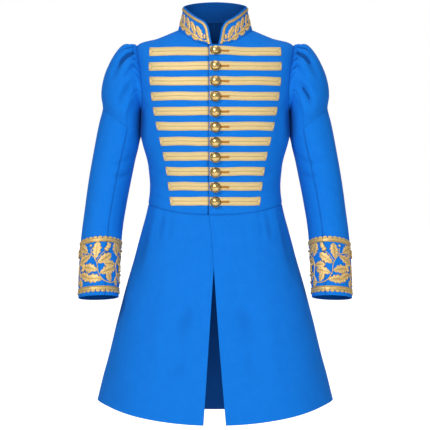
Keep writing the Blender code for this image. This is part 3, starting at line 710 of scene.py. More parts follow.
def wall(points, normals, relief, thickness, painted_shade, hems=(), inner_share=0.6, inner_relief=0.0):
    """Points, faces, flat coordinates, painted shade and material slots of a closed wall over a grid."""
    rows, columns = points.shape[:2]
    inner_lift = relief * inner_share - thickness + inner_relief
    outer = points + normals * relief[..., None]
    inner = points + normals * inner_lift[..., None]
    number = np.arange(rows * columns).reshape(rows, columns)
    shift = rows * columns
    corners = (number[:-1, :-1], number[:-1, 1:], number[1:, 1:], number[1:, :-1])
    faces = np.stack(corners, -1).reshape(-1, 4)
    borders = {
        "first_row": (number[0, :], number[1, :]),
        "last_column": (number[:, -1], number[:, -2]),
        "last_row": (number[-1, ::-1], number[-2, ::-1]),
        "first_column": (number[::-1, 0], number[::-1, 1]),
    }
    flat_outer, flat_inner = outer.reshape(-1, 3), inner.reshape(-1, 3)
    path, pushed = [], np.zeros((shift, 3))
    for side, (edge, next_to) in borders.items():
        path.extend(edge[:-1])
        if side in hems:
            outwards = unit(points.reshape(-1, 3)[edge] - points.reshape(-1, 3)[next_to])
            pushed[edge] += outwards * thickness * HEM_ROUND
    path = np.array(path)
    middle = (flat_outer[path] + flat_inner[path]) / 2 + pushed[path]
    rim = 2 * shift + np.arange(len(path))
    following, rim_following = np.roll(path, -1), np.roll(rim, -1)
    edge_faces = np.concatenate([
        np.stack([following, path, rim, rim_following], -1),
        np.stack([rim_following, rim, path + shift, following + shift], -1),
    ])
    vertices = np.concatenate([flat_outer, flat_inner, middle])
    quads = turned_out(vertices, np.concatenate([faces, faces[:, ::-1] + shift, edge_faces]))
    u, v = measure(points)
    flat = np.stack([u - u.max(axis=1)[:, None] / 2, v], -1).reshape(-1, 2)
    slots = np.concatenate([np.zeros(len(faces)), np.ones(len(faces)), np.zeros(len(edge_faces))])
    deep = np.clip(painted_shade, 0, 1).ravel()
    deep = np.concatenate([deep, np.zeros(shift), deep[path] * 0.5])
    return vertices, quads.tolist(), np.concatenate([flat, flat, flat[path]]), deep, slots


def sew(name, points, normals, relief, seams=(), hems=(), thickness=CLOTH,
        inner_share=0.6, inner_relief=0.0, shade=0.0, seam_share=1.0):
    u, v = measure(points)
    valley = dipped(u, v, seams) * seam_share
    # Painted shade in the seams' valleys, added to the painted shade that the caller gives.
    painted_shade = shade - valley / SEAM_SHADE
    built = wall(points, normals, relief + valley, thickness, painted_shade, hems, inner_share, inner_relief)
    vertices, faces, flat, deep, slots = built
    # The inner faces take the darker copy of the wool, as painted shade.
    piece = make_mesh(name + "_cloth", vertices, faces, flat, deep, (BLUE_WOOL, BLUE_INSIDE_SHADED), slots)
    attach(piece, "root")
    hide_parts(name)


# %% [markdown]
# ## The two fronts and the two backs
# A tight coat pulls a little at every button, so short folds run out from each one between the bars of lace,
# and a long soft one falls from the armhole towards the waist. The back has a hollow between the shoulder
# blades, and drags across the small of the back, where the coat is nipped in.

# %% Folds of the bodice
LAP_SHADOW_X = 0.0166
# points (x, z) on the +X side, depth, width, strength at the start
FRONT_FOLDS = (
    (((0.176, -0.180), (0.160, -0.235), (0.142, -0.300)), -0.0016, 0.010, 0.5),
    (((0.170, -0.150), (0.158, -0.178), (0.143, -0.200)), 0.0011, 0.007, 0.6),
    (((0.166, -0.320), (0.120, -0.352), (0.085, -0.372)), -0.0010, 0.007, 0.4),
    (((0.160, -0.380), (0.120, -0.398), (0.060, -0.408)), 0.0008, 0.006, 0.4),
)


def front_relief(points, side):
    """Folds of a front at points drawn on the +X side."""
    total = hang(points, 0.0005)
    for number in range(len(BAR_REACH)):
        z = BAR_TOP_Z - BAR_PITCH * (number + 0.5)
        swing = 0.002 * math.sin(2.3 * number + side)
        reach = 0.040 + 0.012 * math.sin(1.7 * number)
        total = total + fold(points, ((0.004, z + 0.004), (reach, z + swing)), -0.0012, 0.0042, 0.8)
        rise = ((0.006, z - 0.006), (reach * 0.7, z - 0.009 + swing))
        total = total + fold(points, rise, 0.0008, 0.0035, 0.7)
    for line, depth, width, start in FRONT_FOLDS:
        total = total + fold(points, line, depth, width, start)
    if side < 0:
        total = total - 0.0013 * hump(points[..., 0] - LAP_SHADOW_X, 0.0019)
    return total + pressed_side(points)


def under_arm(points):
    """From 0 to 1 where the arm hangs against the side."""
    z = points[..., 2]
    return smooth((-0.182 - z) / 0.020) * (1 - smooth((-0.240 - z) / 0.035))


def pressed_side(points):
    """The arm's cloth and the side's meet there, so that no light comes through."""
    return 0.0022 * under_arm(points) * smooth((np.abs(points[..., 0]) - 0.148) / 0.018)


def back_relief(points):
    total = hang(points, 0.0007)
    for line, depth, width in (
        (((0.165, -0.150), (0.120, -0.185), (0.070, -0.205)), -0.0018, 0.009),
        (((0.168, -0.120), (0.130, -0.140), (0.095, -0.150)), 0.0013, 0.008),
        (((0.160, -0.330), (0.095, -0.350), (0.030, -0.356)), -0.0020, 0.008),
        (((0.158, -0.362), (0.100, -0.378), (0.045, -0.384)), -0.0014, 0.006),
        (((0.004, -0.090), (0.010, -0.150), (0.006, -0.210)), -0.0014, 0.014),
        (((0.110, -0.205), (0.100, -0.260), (0.105, -0.310)), 0.0012, 0.013),
    ):
        total = total + fold(points, line, depth * 1.5, width, 0.3, 0.2)
    return total + pressed_side(points)


# %% Bodice panels
def side_seam(level):
    t = 1 - np.minimum(1.0, level / ARMPIT)
    return math.radians(90) + (SIDE_SEAM_WAIST - math.radians(90)) * t


def outline_angle(level, behind):
    cut = armhole_angles(level)[1 if behind else 0]
    return np.where(level <= ARMPIT, side_seam(level), np.where(level >= SHOULDER, math.radians(90), cut))


def bodice_levels(spacing):
    """Levels of the bodice's rows, with extra ones where the armhole begins and ends."""
    bottom = [ARMPIT + d for d in (-0.004, 0.0, 0.003, 0.008)]
    top = [SHOULDER + d for d in (-0.008, -0.003, 0.0, 0.006)]
    return np.unique(np.concatenate([graded(0.44, spacing), bottom, top]))


def panel_grid(start, end, places, levels):
    """Angles and levels of a panel's points; each row runs from its start angle to its end angle."""
    angles = start[:, None] + (end - start)[:, None] * places
    return angles, np.broadcast_to(levels[:, None], angles.shape)


for side, word in SIDES:
    mirror = mirror_of(side)
    levels = bodice_levels(0.0032)
    start = angle_of_x(BODICE_RINGS, levels, np.full_like(levels, EDGE_X))
    angles, grid_levels = panel_grid(start, outline_angle(levels, False), graded(0.235, 0.0032), levels)
    points, normals = front_place(angles, grid_levels, side)
    x = np.abs(points[..., 0])
    # Painted shade where the arm hangs against the side, and on the right front a painted shadow under the left
    # front's edge.
    shade = 0.85 * under_arm(points) * smooth((x - 0.158) / 0.018)
    if side < 0:
        shade = shade + hump(x - LAP_SHADOW_X + 0.0008, 0.0019)
    sew(
        f"front_{word}", points, normals, front_relief(points * mirror, side),
        seams=("first_row", "last_column", "last_row"), hems=("first_column",), shade=shade,
    )
    angles, grid_levels = panel_grid(outline_angle(levels, True), math.pi, graded(0.190, 0.0038), levels)
    points, normals = bodice(angles, grid_levels), bodice_normal(angles, grid_levels)
    relief = back_relief(points)
    sew(
        f"back_{word}", points * mirror, normals * mirror, relief,
        seams=("first_row", "first_column", "last_column", "last_row"), shade=fold_shade(relief, 0.0007, 0.007),
    )

# %% [markdown]
# ## The skirt
# Three panels hang from the waist seam. They are cut flared, so they fall nearly smooth, with shallow flutes at
# the sides and behind, and a few short tucks below the waist. The hem is turned up inside, which shows as a
# small step on the inner face, and the front edges are turned and stitched.

# %% Folds and panels of the skirt
TUCKS = (
    ((0.122, -0.428), (0.129, -0.470), (0.137, -0.520), -0.0016, 0.006),
    ((0.104, -0.434), (0.109, -0.474), (0.114, -0.512), -0.0011, 0.005),
    ((0.140, -0.424), (0.151, -0.470), (0.166, -0.540), 0.0013, 0.007),
    ((0.070, -0.442), (0.074, -0.490), (0.076, -0.545), -0.0008, 0.007),
    ((0.152, -0.440), (0.172, -0.520), (0.196, -0.620), -0.0018, 0.010),
    ((0.120, -0.620), (0.135, -0.740), (0.150, -0.900), 0.0016, 0.018),
    ((0.060, -0.560), (0.070, -0.720), (0.085, -0.920), -0.0014, 0.020),
)
EDGE_TUCK = ((-0.004, -0.475), (0.006, -0.505), (0.004, -0.535))
EDGE_STITCHES, EDGE_PULL = 0.0062, 0.00045
HEM_TURN = 0.026


def skirt_relief(points, behind):
    total = hang(points, 0.0012)
    for *line, depth, width in TUCKS:
        total = total + fold(points, line, depth * (2.6 if behind else 1.5), width, 0.5)
    if not behind:
        total = total + fold(points, EDGE_TUCK, -0.0015, 0.006, 0.2)
    return total


def skirt_edge(levels, side):
    """X of a skirt's front edge, counted towards its own side."""
    return along(SKIRT_EDGES, 1, levels) if side > 0 else -along(SKIRT_EDGES, 2, levels)


def hem_step(v):
    """The inner face stands in a little where the hem is turned up."""
    return -0.0009 * smooth((v - (v.max(axis=0) - HEM_TURN)) / 0.0016 + 1)


for side, word in SIDES:
    mirror = mirror_of(side)
    levels = graded(0.52, 0.0048)
    start = angle_of_x(SKIRT_RINGS, levels, skirt_edge(levels, side))
    angles, grid_levels = panel_grid(start, SIDE_SEAM_WAIST, graded(0.31, 0.0050), levels)
    normals = skirt_normal(angles, grid_levels)
    points = lapped(skirt(angles, grid_levels), normals, side)
    u, v = measure(points)
    relief = skirt_relief(points, False) - EDGE_PULL * hump(u - EDGE_STITCHES, 0.0007)
    sew(
        f"skirt_{word}", points * mirror, normals * mirror, relief, ("first_row", "last_column"),
        ("first_column", "last_row"), inner_relief=hem_step(v), shade=fold_shade(relief, 0.0010, 0.010),
    )

levels = graded(0.52, 0.0060)
start = np.full_like(levels, SIDE_SEAM_WAIST)
angles, grid_levels = panel_grid(start, 2 * math.pi - start, graded(0.80, 0.0062), levels)
points, normals = skirt(angles, grid_levels), skirt_normal(angles, grid_levels)
u, v = measure(points)
relief = skirt_relief(points, True) + skirt_relief(points * mirror_of(-1), True) * 0.8
sew(
    "skirt_back", points, normals, relief, ("first_row", "first_column", "last_column"), ("last_row",),
    inner_relief=hem_step(v), shade=fold_shade(relief, 0.0012, 0.010),
)

# %% [markdown]
# ## The sleeves
# The head of the sleeve is cut wider than the armhole and drawn up into it, so sharp little gathers fan out of
# the seam at the top and die away in the puff. Each gather is a trough with one steep side, and it is sewn
# nearly flat at the seam itself. Under the arm the cloth folds where the arm comes down, and at the bend of the
# elbow it breaks into a few shallow creases.

# %% Gathers and folds of the sleeve
# angle from the top (forwards positive), depth, half width in degrees, reach in rings, lean
GATHERS = (
    (-78, 0.0030, 4.0, 1.8, 1.5), (-60, 0.0044, 4.6, 2.4, 2.0), (-42, 0.0058, 4.4, 3.0, 3.0),
    (-25, 0.0050, 4.0, 2.6, 2.0), (-9, 0.0042, 3.6, 2.2, 1.5), (7, 0.0050, 3.6, 2.2, 2.0),
    (21, 0.0068, 4.0, 3.0, 4.0), (37, 0.0074, 4.4, 3.6, 6.0), (52, 0.0064, 4.0, 2.8, 5.0),
    (66, 0.0048, 3.6, 2.2, 4.0), (80, 0.0030, 3.6, 1.8, 2.0),
)


def gather_relief(turn, station):
    degrees = wrapped_degrees(turn)
    total = np.zeros(np.broadcast(degrees, station).shape)
    for place, depth, half_width, reach, lean in GATHERS:
        away = degrees - place - lean * station
        steep = np.where(away > 0, half_width * 0.62, half_width * 1.25)
        fade = 1 - smooth(station / reach)
        total = total - depth * fade * hump(away, steep * (1 + 0.35 * station))
        crest = away - half_width * 1.9
        total = total + depth * 0.42 * fade * smooth(station / 0.35) * hump(crest, half_width * 0.9)
    return total


def on_sleeve_line(*places):
    """Points of the left sleeve at (degrees, ring) places, for drawing a fold."""
    turns, stations = np.array(places, float).T
    return sleeve(np.radians(turns), stations)


# (degrees, ring) places, depth, width
SLEEVE_FOLDS = [
    (on_sleeve_line(*places), depth, width)
    for places, depth, width in (
        (((24, 0.2), (27, 1.0), (24, 2.0), (16, 3.2)), -0.0030, 0.0055),
        (((44, 0.2), (48, 0.9), (50, 1.9), (46, 3.0)), -0.0034, 0.0060),
        (((66, 0.2), (72, 1.0), (77, 2.2), (78, 3.6)), -0.0030, 0.0060),
        (((2, 0.2), (0, 1.0), (-6, 2.2)), -0.0024, 0.0050),
        (((38, 1.2), (46, 2.2), (52, 3.6), (50, 4.6)), -0.0026, 0.010),
        (((60, 0.9), (66, 2.0), (70, 3.2)), 0.0020, 0.009),
        (((104, 0.8), (97, 2.4), (90, 4.2), (84, 6.0)), -0.0034, 0.0085),
        (((88, 1.2), (80, 3.0), (74, 4.8)), 0.0022, 0.009),
        (((118, 1.6), (112, 3.4), (104, 5.4), (98, 6.8)), 0.0018, 0.006),
        (((10, 2.2), (8, 3.6), (14, 5.0)), -0.0012, 0.012),
        (((-100, 1.0), (-92, 3.0), (-80, 5.4)), -0.0034, 0.010),
        (((-45, 1.4), (-52, 3.0), (-50, 4.6)), -0.0024, 0.011),
        (((150, 8.8), (110, 9.6), (78, 9.9)), -0.0015, 0.0065),
        (((155, 10.0), (120, 10.4), (86, 10.3)), -0.0018, 0.0065),
        (((150, 11.2), (112, 11.1), (84, 10.8)), -0.0012, 0.006),
        (((-150, 9.4), (-110, 10.2), (-60, 10.3)), -0.0016, 0.008),
        (((-148, 11.0), (-104, 11.3), (-66, 11.0)), -0.0014, 0.007),
        (((40, 7.6), (30, 9.4), (34, 11.6)), 0.0009, 0.012),
        (((20, 11.8), (32, 12.6), (60, 13.2)), -0.0008, 0.007),
    )
]


def sleeve_relief(turn, station, side):
    points = sleeve(turn, station)
    degrees = np.degrees(np.arccos(np.clip(-np.cos(turn), -1, 1)))
    pressed = 0.0030 * hump(degrees, 34) * under_arm(points)
    total = hang(points, 0.0006) + gather_relief(turn, station)
    for number, (line, depth, width) in enumerate(SLEEVE_FOLDS):
        uneven = 1.45 + 0.25 * math.sin(2.1 * number + side)
        total = total + fold(points, line, depth * uneven, width, 0.25)
    return total * (0.10 + 0.90 * smooth(station / 0.32)) + pressed


def on_sleeve(turn, station, side, lift=0.0):
    """Point and normal on the finished sleeve, a distance off the cloth."""
    turn, station = np.broadcast_arrays(np.asarray(turn, float), np.asarray(station, float))
    normal = sleeve_normal(turn, station)
    raised = sleeve_relief(turn, station, side) + lift
    point = sleeve(turn, station) + normal * raised[..., None]
    return point * mirror_of(side), normal * mirror_of(side)


# %% Sleeve panels
HALF_SEAM = 0.00015
TURN_GAP, STATION_GAP = HALF_SEAM / 0.05, HALF_SEAM / 0.03
INNERMOST = math.radians(170)


def stations_between(start, end, length, spacing):
    """Rings between two places of the sleeve, nearly even in length."""
    fine = np.linspace(start, end, 400)
    walked = walked_along(sleeve(np.zeros_like(fine), fine))
    return np.interp(graded(length, spacing) * walked[-1], walked, fine)


def turns_between(start, end, length, spacing):
    return start + (end - start) * graded(length, spacing)


def sleeve_panel(name, side, turns, stations, seams, hems=()):
    turns, stations = np.meshgrid(turns, stations)
    points, normals = sleeve(turns, stations), sleeve_normal(turns, stations)
    if stations[0, 0] == 0:
        normals[:1] = unit(armhole(turns[:1], CLOTH / 2) - armhole(turns[:1], -CLOTH / 2))
        for row, share in ((1, 0.75), (2, 0.5), (3, 0.25)):
            normals[row] = unit(normals[0] * share + normals[row] * (1 - share))
    relief = sleeve_relief(turns, stations, side)
    from_inner = np.abs(wrapped_degrees(turns - INNERMOST))
    # Painted shade along the armhole seam, in the bottoms of the folds, and where the arm hangs against the
    # side.
    shade = 0.5 * hump(stations, 0.16) + fold_shade(relief, 0.0010, 0.0150)
    shade = shade + 0.85 * under_arm(points) * (1 - smooth((from_inner - 12) / 36))
    sew(
        name, points * mirror_of(side), normals * mirror_of(side), relief, seams, hems,
        shade=shade,
        seam_share=0.35 + 0.65 * smooth((stations - HEAD_END + 0.1) / 0.5),
    )


FRONT_SEAM = SLEEVE_SEAM - TURN_GAP
BOTH_SEAMS = ("first_column", "last_column")
for side, word in SIDES:
    sleeve_panel(
        f"sleeve_head_{word}", side, turns_between(-FRONT_SEAM, FRONT_SEAM, 0.250, 0.0021),
        stations_between(0.0, HEAD_END - STATION_GAP, 0.185, 0.0024), ("last_row", *BOTH_SEAMS),
    )
    sleeve_panel(
        f"sleeve_top_{word}", side, turns_between(-FRONT_SEAM, FRONT_SEAM, 0.210, 0.0036),
        stations_between(HEAD_END + STATION_GAP, CUFF_END, 0.460, 0.0038), ("first_row", *BOTH_SEAMS),
        ("last_row",),
    )
    under = (SLEEVE_SEAM + TURN_GAP, 2 * math.pi - SLEEVE_SEAM - TURN_GAP)
    sleeve_panel(
        f"sleeve_under_{word}", side, turns_between(*under, 0.120, 0.0040),
        stations_between(0.0, CUFF_END, 0.62, 0.0042), BOTH_SEAMS, ("last_row",),
    )

# %% [markdown]
# ## The stand collar
# The collar is wool over stiff canvas, so it keeps its shape and shows no folds, only a rolled top edge and the
# seam round the neck. The inside is faced with the same wool, whose inner faces take the darker copy that paints
# their shade.

# %% Collar
COLLAR_FOOT = -0.032
heights = graded(0.055, 0.0022)
heights[0] = COLLAR_FOOT
ends = collar_end(np.maximum(heights, 0))
angles, grid_heights = panel_grid(ends, 2 * math.pi - ends, graded(0.46, 0.0024), heights)
points, normals = collar(angles, grid_heights), collar_normal(angles, grid_heights)
sew(
    "collar", points, normals, hang(points, 0.0003), ("first_row",), ("last_row", "first_column", "last_column"),
    thickness=COLLAR_CLOTH, inner_share=0.2, seam_share=0.5,
)

# %% [markdown]
# ## Flat gold lace
# Lace is a narrow woven strip. Across it run two satin bands with a groove between them and a cord along each
# edge. On the chest the outer end is folded to a mitre, which leaves two short creases running from the groove
# to the corners. Each bar is laid on the finished front, so it goes over the front's folds.

# %% Cross-section of the lace, and the chest bars
LACE_ROWS = np.array(
    (0.0, 0.035, 0.075, 0.11, 0.16, 0.28, 0.40, 0.46, 0.50, 0.54, 0.60, 0.72, 0.84, 0.89, 0.925, 0.965, 1.0)
)
LACE_LIFT = LACE + 0.0004
GROOVE_DEPTH, GROOVE_WIDTH, CORD = 0.00042, 0.022, 0.39
MITRE, BAR_END = 0.0085, 0.012
BAR_Z = [BAR_TOP_Z - BAR_PITCH * number for number in range(len(BAR_REACH))]
cuts = {}


def lace_section(across):
    """Height of the weave at places across the strip, from 0 to 1."""
    middle = np.abs(across - 0.5)
    height = -GROOVE_DEPTH * hump(middle, GROOVE_WIDTH)
    height = height - 0.00022 * hump(middle - CORD, 0.020)
    height = height + 0.00016 * hump(middle - 0.455, 0.030)
    height = height + 0.00018 * (1 - ((middle - 0.22) / 0.25) ** 2)
    return height - 0.0003 * smooth((middle - 0.48) / 0.02)


def segment_away(x, y, a, b):
    """The distance of each place from the line between a and b."""
    length = (b[0] - a[0]) ** 2 + (b[1] - a[1]) ** 2
    t = np.clip(((x - a[0]) * (b[0] - a[0]) + (y - a[1]) * (b[1] - a[1])) / length, 0, 1)
    return np.hypot(x - a[0] - t * (b[0] - a[0]), y - a[1] - t * (b[1] - a[1]))


def bar_reach_at(z):
    """How far out a bar would reach at that height, on a smooth curve through the bars' ends."""
    rows = tuple(enumerate(BAR_REACH))
    return along(rows, 1, np.clip((BAR_TOP_Z - z) / BAR_PITCH, -0.4, len(rows) - 0.6))


def raised_front(x, z, side):
    """Point and normal of the finished front at an X and Z drawn on the +X side."""
    point, normal = front_at(x, z, side)
    return point + normal * front_relief(point * mirror_of(side), side)[..., None], normal


def lay_lace(name, points, normals, relief, painted_shade, gold, sharp):
    vertices, faces, flat, deep, _ = wall(points, normals, relief, LACE, painted_shade, inner_share=1.0)
    return make_mesh(name, vertices, faces, flat, deep, (gold,), sharp=sharp)


def finish_trim(piece, name=None, flat=None):
    """Ride the coat, stand for the plain piece of that name, and keep a strip's cut in the table of cuts."""
    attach(piece, "root")
    if name:
        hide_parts(name)
    if flat:
        cuts[name] = flat


def lace_bar(number, side, word):
    wobble = 0.00035 * math.sin(3.1 * number + 1.7 * side)
    inner = EDGE_X + 0.0012 if side > 0 else 0.0010 - EDGE_X
    z = BAR_Z[number] + (LACE_ROWS[::-1, None] - 0.5) * BAR_HEIGHT
    outer = bar_reach_at(z)
    length = float(outer.mean() - inner)
    plain, close = np.arange(0, length - BAR_END, 0.0022), np.arange(length - BAR_END, length, 0.0009)
    places = np.unique(np.concatenate([plain, close, [length]])) / length
    x = inner + (outer - inner) * places
    z = z + wobble * np.sin(places * 9 + number) + 0.0004 * np.sin(places * 5 + 2 * number + side)
    points, normals = raised_front(x, z, side)
    walked, across = places[None, :] * length, (LACE_ROWS[:, None] - 0.5) * BAR_HEIGHT
    share, to_end = across / BAR_HEIGHT, length - walked
    fading = smooth((to_end - MITRE) / 0.002)
    groove = hump(share, GROOVE_WIDTH)
    height = lace_section(LACE_ROWS)[:, None] * np.maximum(fading, 0.35)
    height = np.where(np.abs(across) < 0.0016, height + (1 - fading) * GROOVE_DEPTH * groove * 0.35, height)
    # Painted shade in the groove, beside the cords, along the edges, at the folded end and in the mitre's
    # creases.
    painted_shade = 0.85 * groove * fading + 0.5 * hump(np.abs(share) - CORD, 0.018)
    painted_shade = painted_shade + 0.4 * hump(np.abs(share) - 0.5, 0.014) + 0.4 * hump(to_end, 0.0007)
    for corner in (-0.47, 0.47):
        crease = segment_away(walked, across, (length - MITRE, 0.0), (length, corner * BAR_HEIGHT))
        height = height - 0.00040 * hump(crease, 0.00075) * (walked > length - MITRE - 0.001)
        painted_shade = painted_shade + 0.6 * hump(crease, 0.0007)
    height = height - 0.00025 * hump(to_end, 0.0007)
    # Painted shadow on the right front's bars, at the inner end under the left front's edge.
    if side < 0:
        painted_shade = painted_shade + 0.95 * hump(walked - 0.0004, 0.0016)
    name = f"bar_{word}_{number + 1:02d}"
    piece = lay_lace(name + "_lace", points, normals, LACE_LIFT + height, painted_shade, GOLD_LACE, 55)
    u, v = measure(points)
    flat = (float(u[:, -1].mean()) + MITRE, float(v[-1].mean()))
    finish_trim(piece, name, flat)


for side, word in SIDES:
    for number in range(len(BAR_REACH)):
        lace_bar(number, side, word)
bar_cuts = list(cuts.values())
least, most = np.min(bar_cuts, axis=0), np.max(bar_cuts, axis=0)
print("chest bars:", len(bar_cuts), "cuts from", least.round(4), "to", most.round(4))

# %% [markdown]
# ## Scalloped lace on the cuffs, and the collar's edging
# The cuff laces have one straight edge with a raised cord, and one edge of small padded scallops. The upper
# lace turns its scallops up the arm and the lower one down, so that they frame the needlework.

# %% Cuff lace
SCALLOPS, SCALLOP_FOOT = 26, 0.52
CUFF_ROWS = np.array((0.0, 0.05, 0.10, 0.16, 0.26, 0.38, 0.46, 0.52, 0.58, 0.66, 0.74, 0.82, 0.90, 0.96, 1.0))


def cuff_lace(name, side, stations, upwards):
    near, far = stations[::-1] if upwards else stations
    turns = np.linspace(SLEEVE_SEAM + 0.004, SLEEVE_SEAM + 2 * math.pi - 0.004, SCALLOPS * 9 + 1)
    phase = np.linspace(0, SCALLOPS, len(turns)) % 1.0
    round_edge = np.sqrt(np.maximum(0.0, 1 - (2 * phase - 1) ** 2))
    reach = 0.66 + 0.34 * round_edge
    place = CUFF_ROWS[:, None]
    scalloped = SCALLOP_FOOT + (place - SCALLOP_FOOT) * (reach - SCALLOP_FOOT) / (1 - SCALLOP_FOOT)
    share = np.where(place < SCALLOP_FOOT, place, scalloped)
    points, normals = on_sleeve(turns, near + (far - near) * share, side)
    cord = 0.00055 * hump(share - 0.08, 0.045) + 0.00045 * hump(share - 0.50, 0.040)
    band = 0.00018 * np.sin(share * 2 * math.pi / 0.14) * (share < 0.46)
    rising = np.clip((place - 0.54) / 0.2, 0, 1)
    falling = np.sqrt(np.maximum(0, 1 - np.clip((place - 0.60) / 0.40, 0, 1) ** 2))
    pad = 0.0014 * rising * falling * (0.25 + 0.75 * round_edge)
    relief = LACE + 0.0003 + cord + band + pad - 0.0004 * hump(place, 0.03)
    # Painted shade along the edges, beside the cords and in the notches between the scallops.
    painted_shade = 0.7 * hump(place, 0.035) + 0.75 * hump(share - 0.16, 0.030) + 0.8 * hump(share - 0.565, 0.022)
    painted_shade = painted_shade + 0.9 * hump(np.minimum(phase, 1 - phase), 0.09) * smooth((place - 0.56) / 0.2)
    grids = (points, normals, relief, painted_shade)
    points, normals, relief, painted_shade = grids if upwards else (grid[::-1] for grid in grids)
    piece = lay_lace(name + "_lace", points, normals, relief, painted_shade, CUFF_GOLD, 60)
    u, v = measure(points)
    flat = (float(u[:, -1].min()), float(v[-1].max()))
    finish_trim(piece, name, flat)


for side, word in SIDES:
    cuff_lace(f"cuff_lace_upper_{word}", side, CUFF_LACE_RINGS[0], True)
    cuff_lace(f"cuff_lace_lower_{word}", side, CUFF_LACE_RINGS[1], False)

# %% Collar edging
EDGING_INSET, EDGING_WIDTH, EDGING_CORD = 0.0028, 0.0062, 0.0026


def on_collar(angle, height, lift=0.0):
    point, normal = collar(angle, height), collar_normal(angle, height)
    lift = np.asarray(lift, float) + hang(point, 0.0003)
    return point + normal * lift[..., None], normal


def inset_on_collar(path, distance):
    """Move a path of (angle, height) rows inwards over the collar, square to itself."""
    step, reach = 0.0005, 6
    angle, height = path.T
    edge = collar(angle, height)
    by_angle = (collar(angle + step, height) - collar(angle - step, height)) / (2 * step)
    by_height = (collar(angle, height + step) - collar(angle, height - step)) / (2 * step)
    inwards = unit(np.cross(np.cross(by_angle, by_height), np.gradient(edge, axis=0)))
    if inwards[len(inwards) // 2, 2] > 0:
        inwards = -inwards
    padded = np.pad(inwards, ((reach, reach), (0, 0)), mode="edge")
    inwards = unit(sum(padded[k : k + len(inwards)] for k in range(2 * reach + 1))) * distance
    aa, ah, hh = (by_angle**2).sum(-1), (by_angle * by_height).sum(-1), (by_height**2).sum(-1)
    a, h = (by_angle * inwards).sum(-1), (by_height * inwards).sum(-1)
    return path + np.stack([hh * a - ah * h, aa * h - ah * a], -1) / (aa * hh - ah**2)[:, None]


def collar_edging():
    rows, up = np.linspace(0, 1, 9), np.linspace(0.015, 1.0, 40)
    start = collar_end(1.0)
    round_neck = start + (math.pi - start) * (1 - np.cos(np.linspace(0.10, math.pi / 2, 110)))
    front, top = np.stack([collar_end(up), up], -1), np.stack([round_neck, np.ones_like(round_neck)], -1)
    half = np.concatenate([front, top])
    path = np.concatenate([half, half[-2::-1] * np.array((-1, 1)) + np.array((2 * math.pi, 0))])
    grid = np.array([inset_on_collar(path, inset) for inset in EDGING_INSET + rows * EDGING_WIDTH])
    points, normals = on_collar(grid[..., 0], grid[..., 1])
    walked, _ = measure(points)
    across = 2 * rows[:, None] - 1
    twist = (walked + rows[:, None] * 0.0032) * math.pi / EDGING_CORD
    height = LACE + 0.0006 + 0.0005 * np.sqrt(np.maximum(0.0, 1 - across**2)) + 0.00022 * np.sin(2 * twist)
    # Painted shade along both edges and in the twists of the cord.
    painted_shade = 0.9 * across**6 + 0.5 * np.sin(twist) ** 8
    piece = lay_lace("collar_lace_edging", points, normals, height, painted_shade, COLLAR_GOLD, 60)
    print(f"collar edging, cut {walked[4, -1]:.3f} m long and {EDGING_WIDTH * 1000:.1f} mm wide")
    finish_trim(piece, "collar_lace")


collar_edging()

# %% [markdown]
# ## Buttons
# A uniform button is a domed shell of brass, closed over a flat back, with a thin turned rim and a wire shank.
# The dome starts as a short cylinder: its top face is inset for the rim, then drawn up ring by ring, each ring
# smaller, along a quarter of an ellipse. One button is modelled, and eleven copies are set square to the front.

# %% One button
def enter_edit(thing):
    bpy.ops.object.select_all(action="DESELECT")
    bpy.context.view_layer.objects.active = thing
    thing.select_set(True)
    bpy.ops.object.mode_set(mode="EDIT")
    bpy.ops.mesh.select_mode(type="FACE")


def pick_faces(thing, test):
    """Select the faces whose centre and normal pass a test, in edit mode."""
    bpy.ops.mesh.select_all(action="DESELECT")
    bpy.ops.object.mode_set(mode="OBJECT")
    for face in thing.data.polygons:
        face.select = bool(test(face.center, face.normal))
    bpy.ops.object.mode_set(mode="EDIT")


def model_button():
    bpy.ops.object.select_all(action="DESELECT")
    thick, rim, step = 0.0014, 0.0009, 0.0003
    bpy.ops.mesh.primitive_cylinder_add(
        vertices=48, radius=BUTTON_RADIUS, depth=thick, location=(0, 0, thick / 2)
    )
    button = bpy.context.object
    enter_edit(button)
    pick_faces(button, lambda centre, normal: normal.z > 0.9)
    bpy.ops.mesh.inset(thickness=rim, depth=0.0)
    bpy.ops.mesh.inset(thickness=step, depth=-0.0004)
    top = thick - 0.0004
    rings = [math.radians(a) for a in (0, 9, 19, 30, 42, 54, 66, 76, 85)]
    for low, high in zip(rings, rings[1:]):
        bpy.ops.mesh.extrude_region_move(
            TRANSFORM_OT_translate={"value": (0, 0, BUTTON_DOME * (math.sin(high) - math.sin(low)))}
        )
        shrink = math.cos(high) / math.cos(low)
        centre = (0, 0, top + BUTTON_DOME * math.sin(high))
        bpy.ops.transform.resize(value=(shrink, shrink, 1), center_override=centre)
    bpy.ops.object.mode_set(mode="OBJECT")
    bpy.ops.object.shade_smooth_by_angle(angle=math.radians(35))
    bevel = button.modifiers.new("rim", "BEVEL")
    bevel.width, bevel.segments, bevel.limit_method, bevel.angle_limit = 0.00025, 2, "ANGLE", math.radians(50)
    bpy.ops.object.modifier_apply(modifier=bevel.name)
    bpy.ops.object.select_all(action="DESELECT")
    bpy.ops.mesh.primitive_torus_add(
        major_radius=0.0024, minor_radius=0.0006, major_segments=20, minor_segments=8,
        location=(0, 0, -0.0010), rotation=(math.pi / 2, 0, 0),
    )
    bpy.ops.object.shade_smooth()
    button.select_set(True)
    bpy.context.view_layer.objects.active = button
    bpy.ops.object.join()
    bpy.ops.object.transform_apply(location=True, rotation=True, scale=True)
    return button


pattern_button = model_button()
across = round(pattern_button.dimensions.x * 1000, 1)
print("one button:", len(pattern_button.data.polygons), "faces,", across, "mm across")


def standing_on(point, normal):
    """A frame at a point: Z on the normal, X as near as it can be to the world's X."""
    z = normal.normalized()
    x = (Vector((1, 0, 0)) - z * z.x).normalized()
    matrix = Matrix((x, z.cross(x), z)).transposed().to_4x4()
    matrix.translation = point
    return matrix


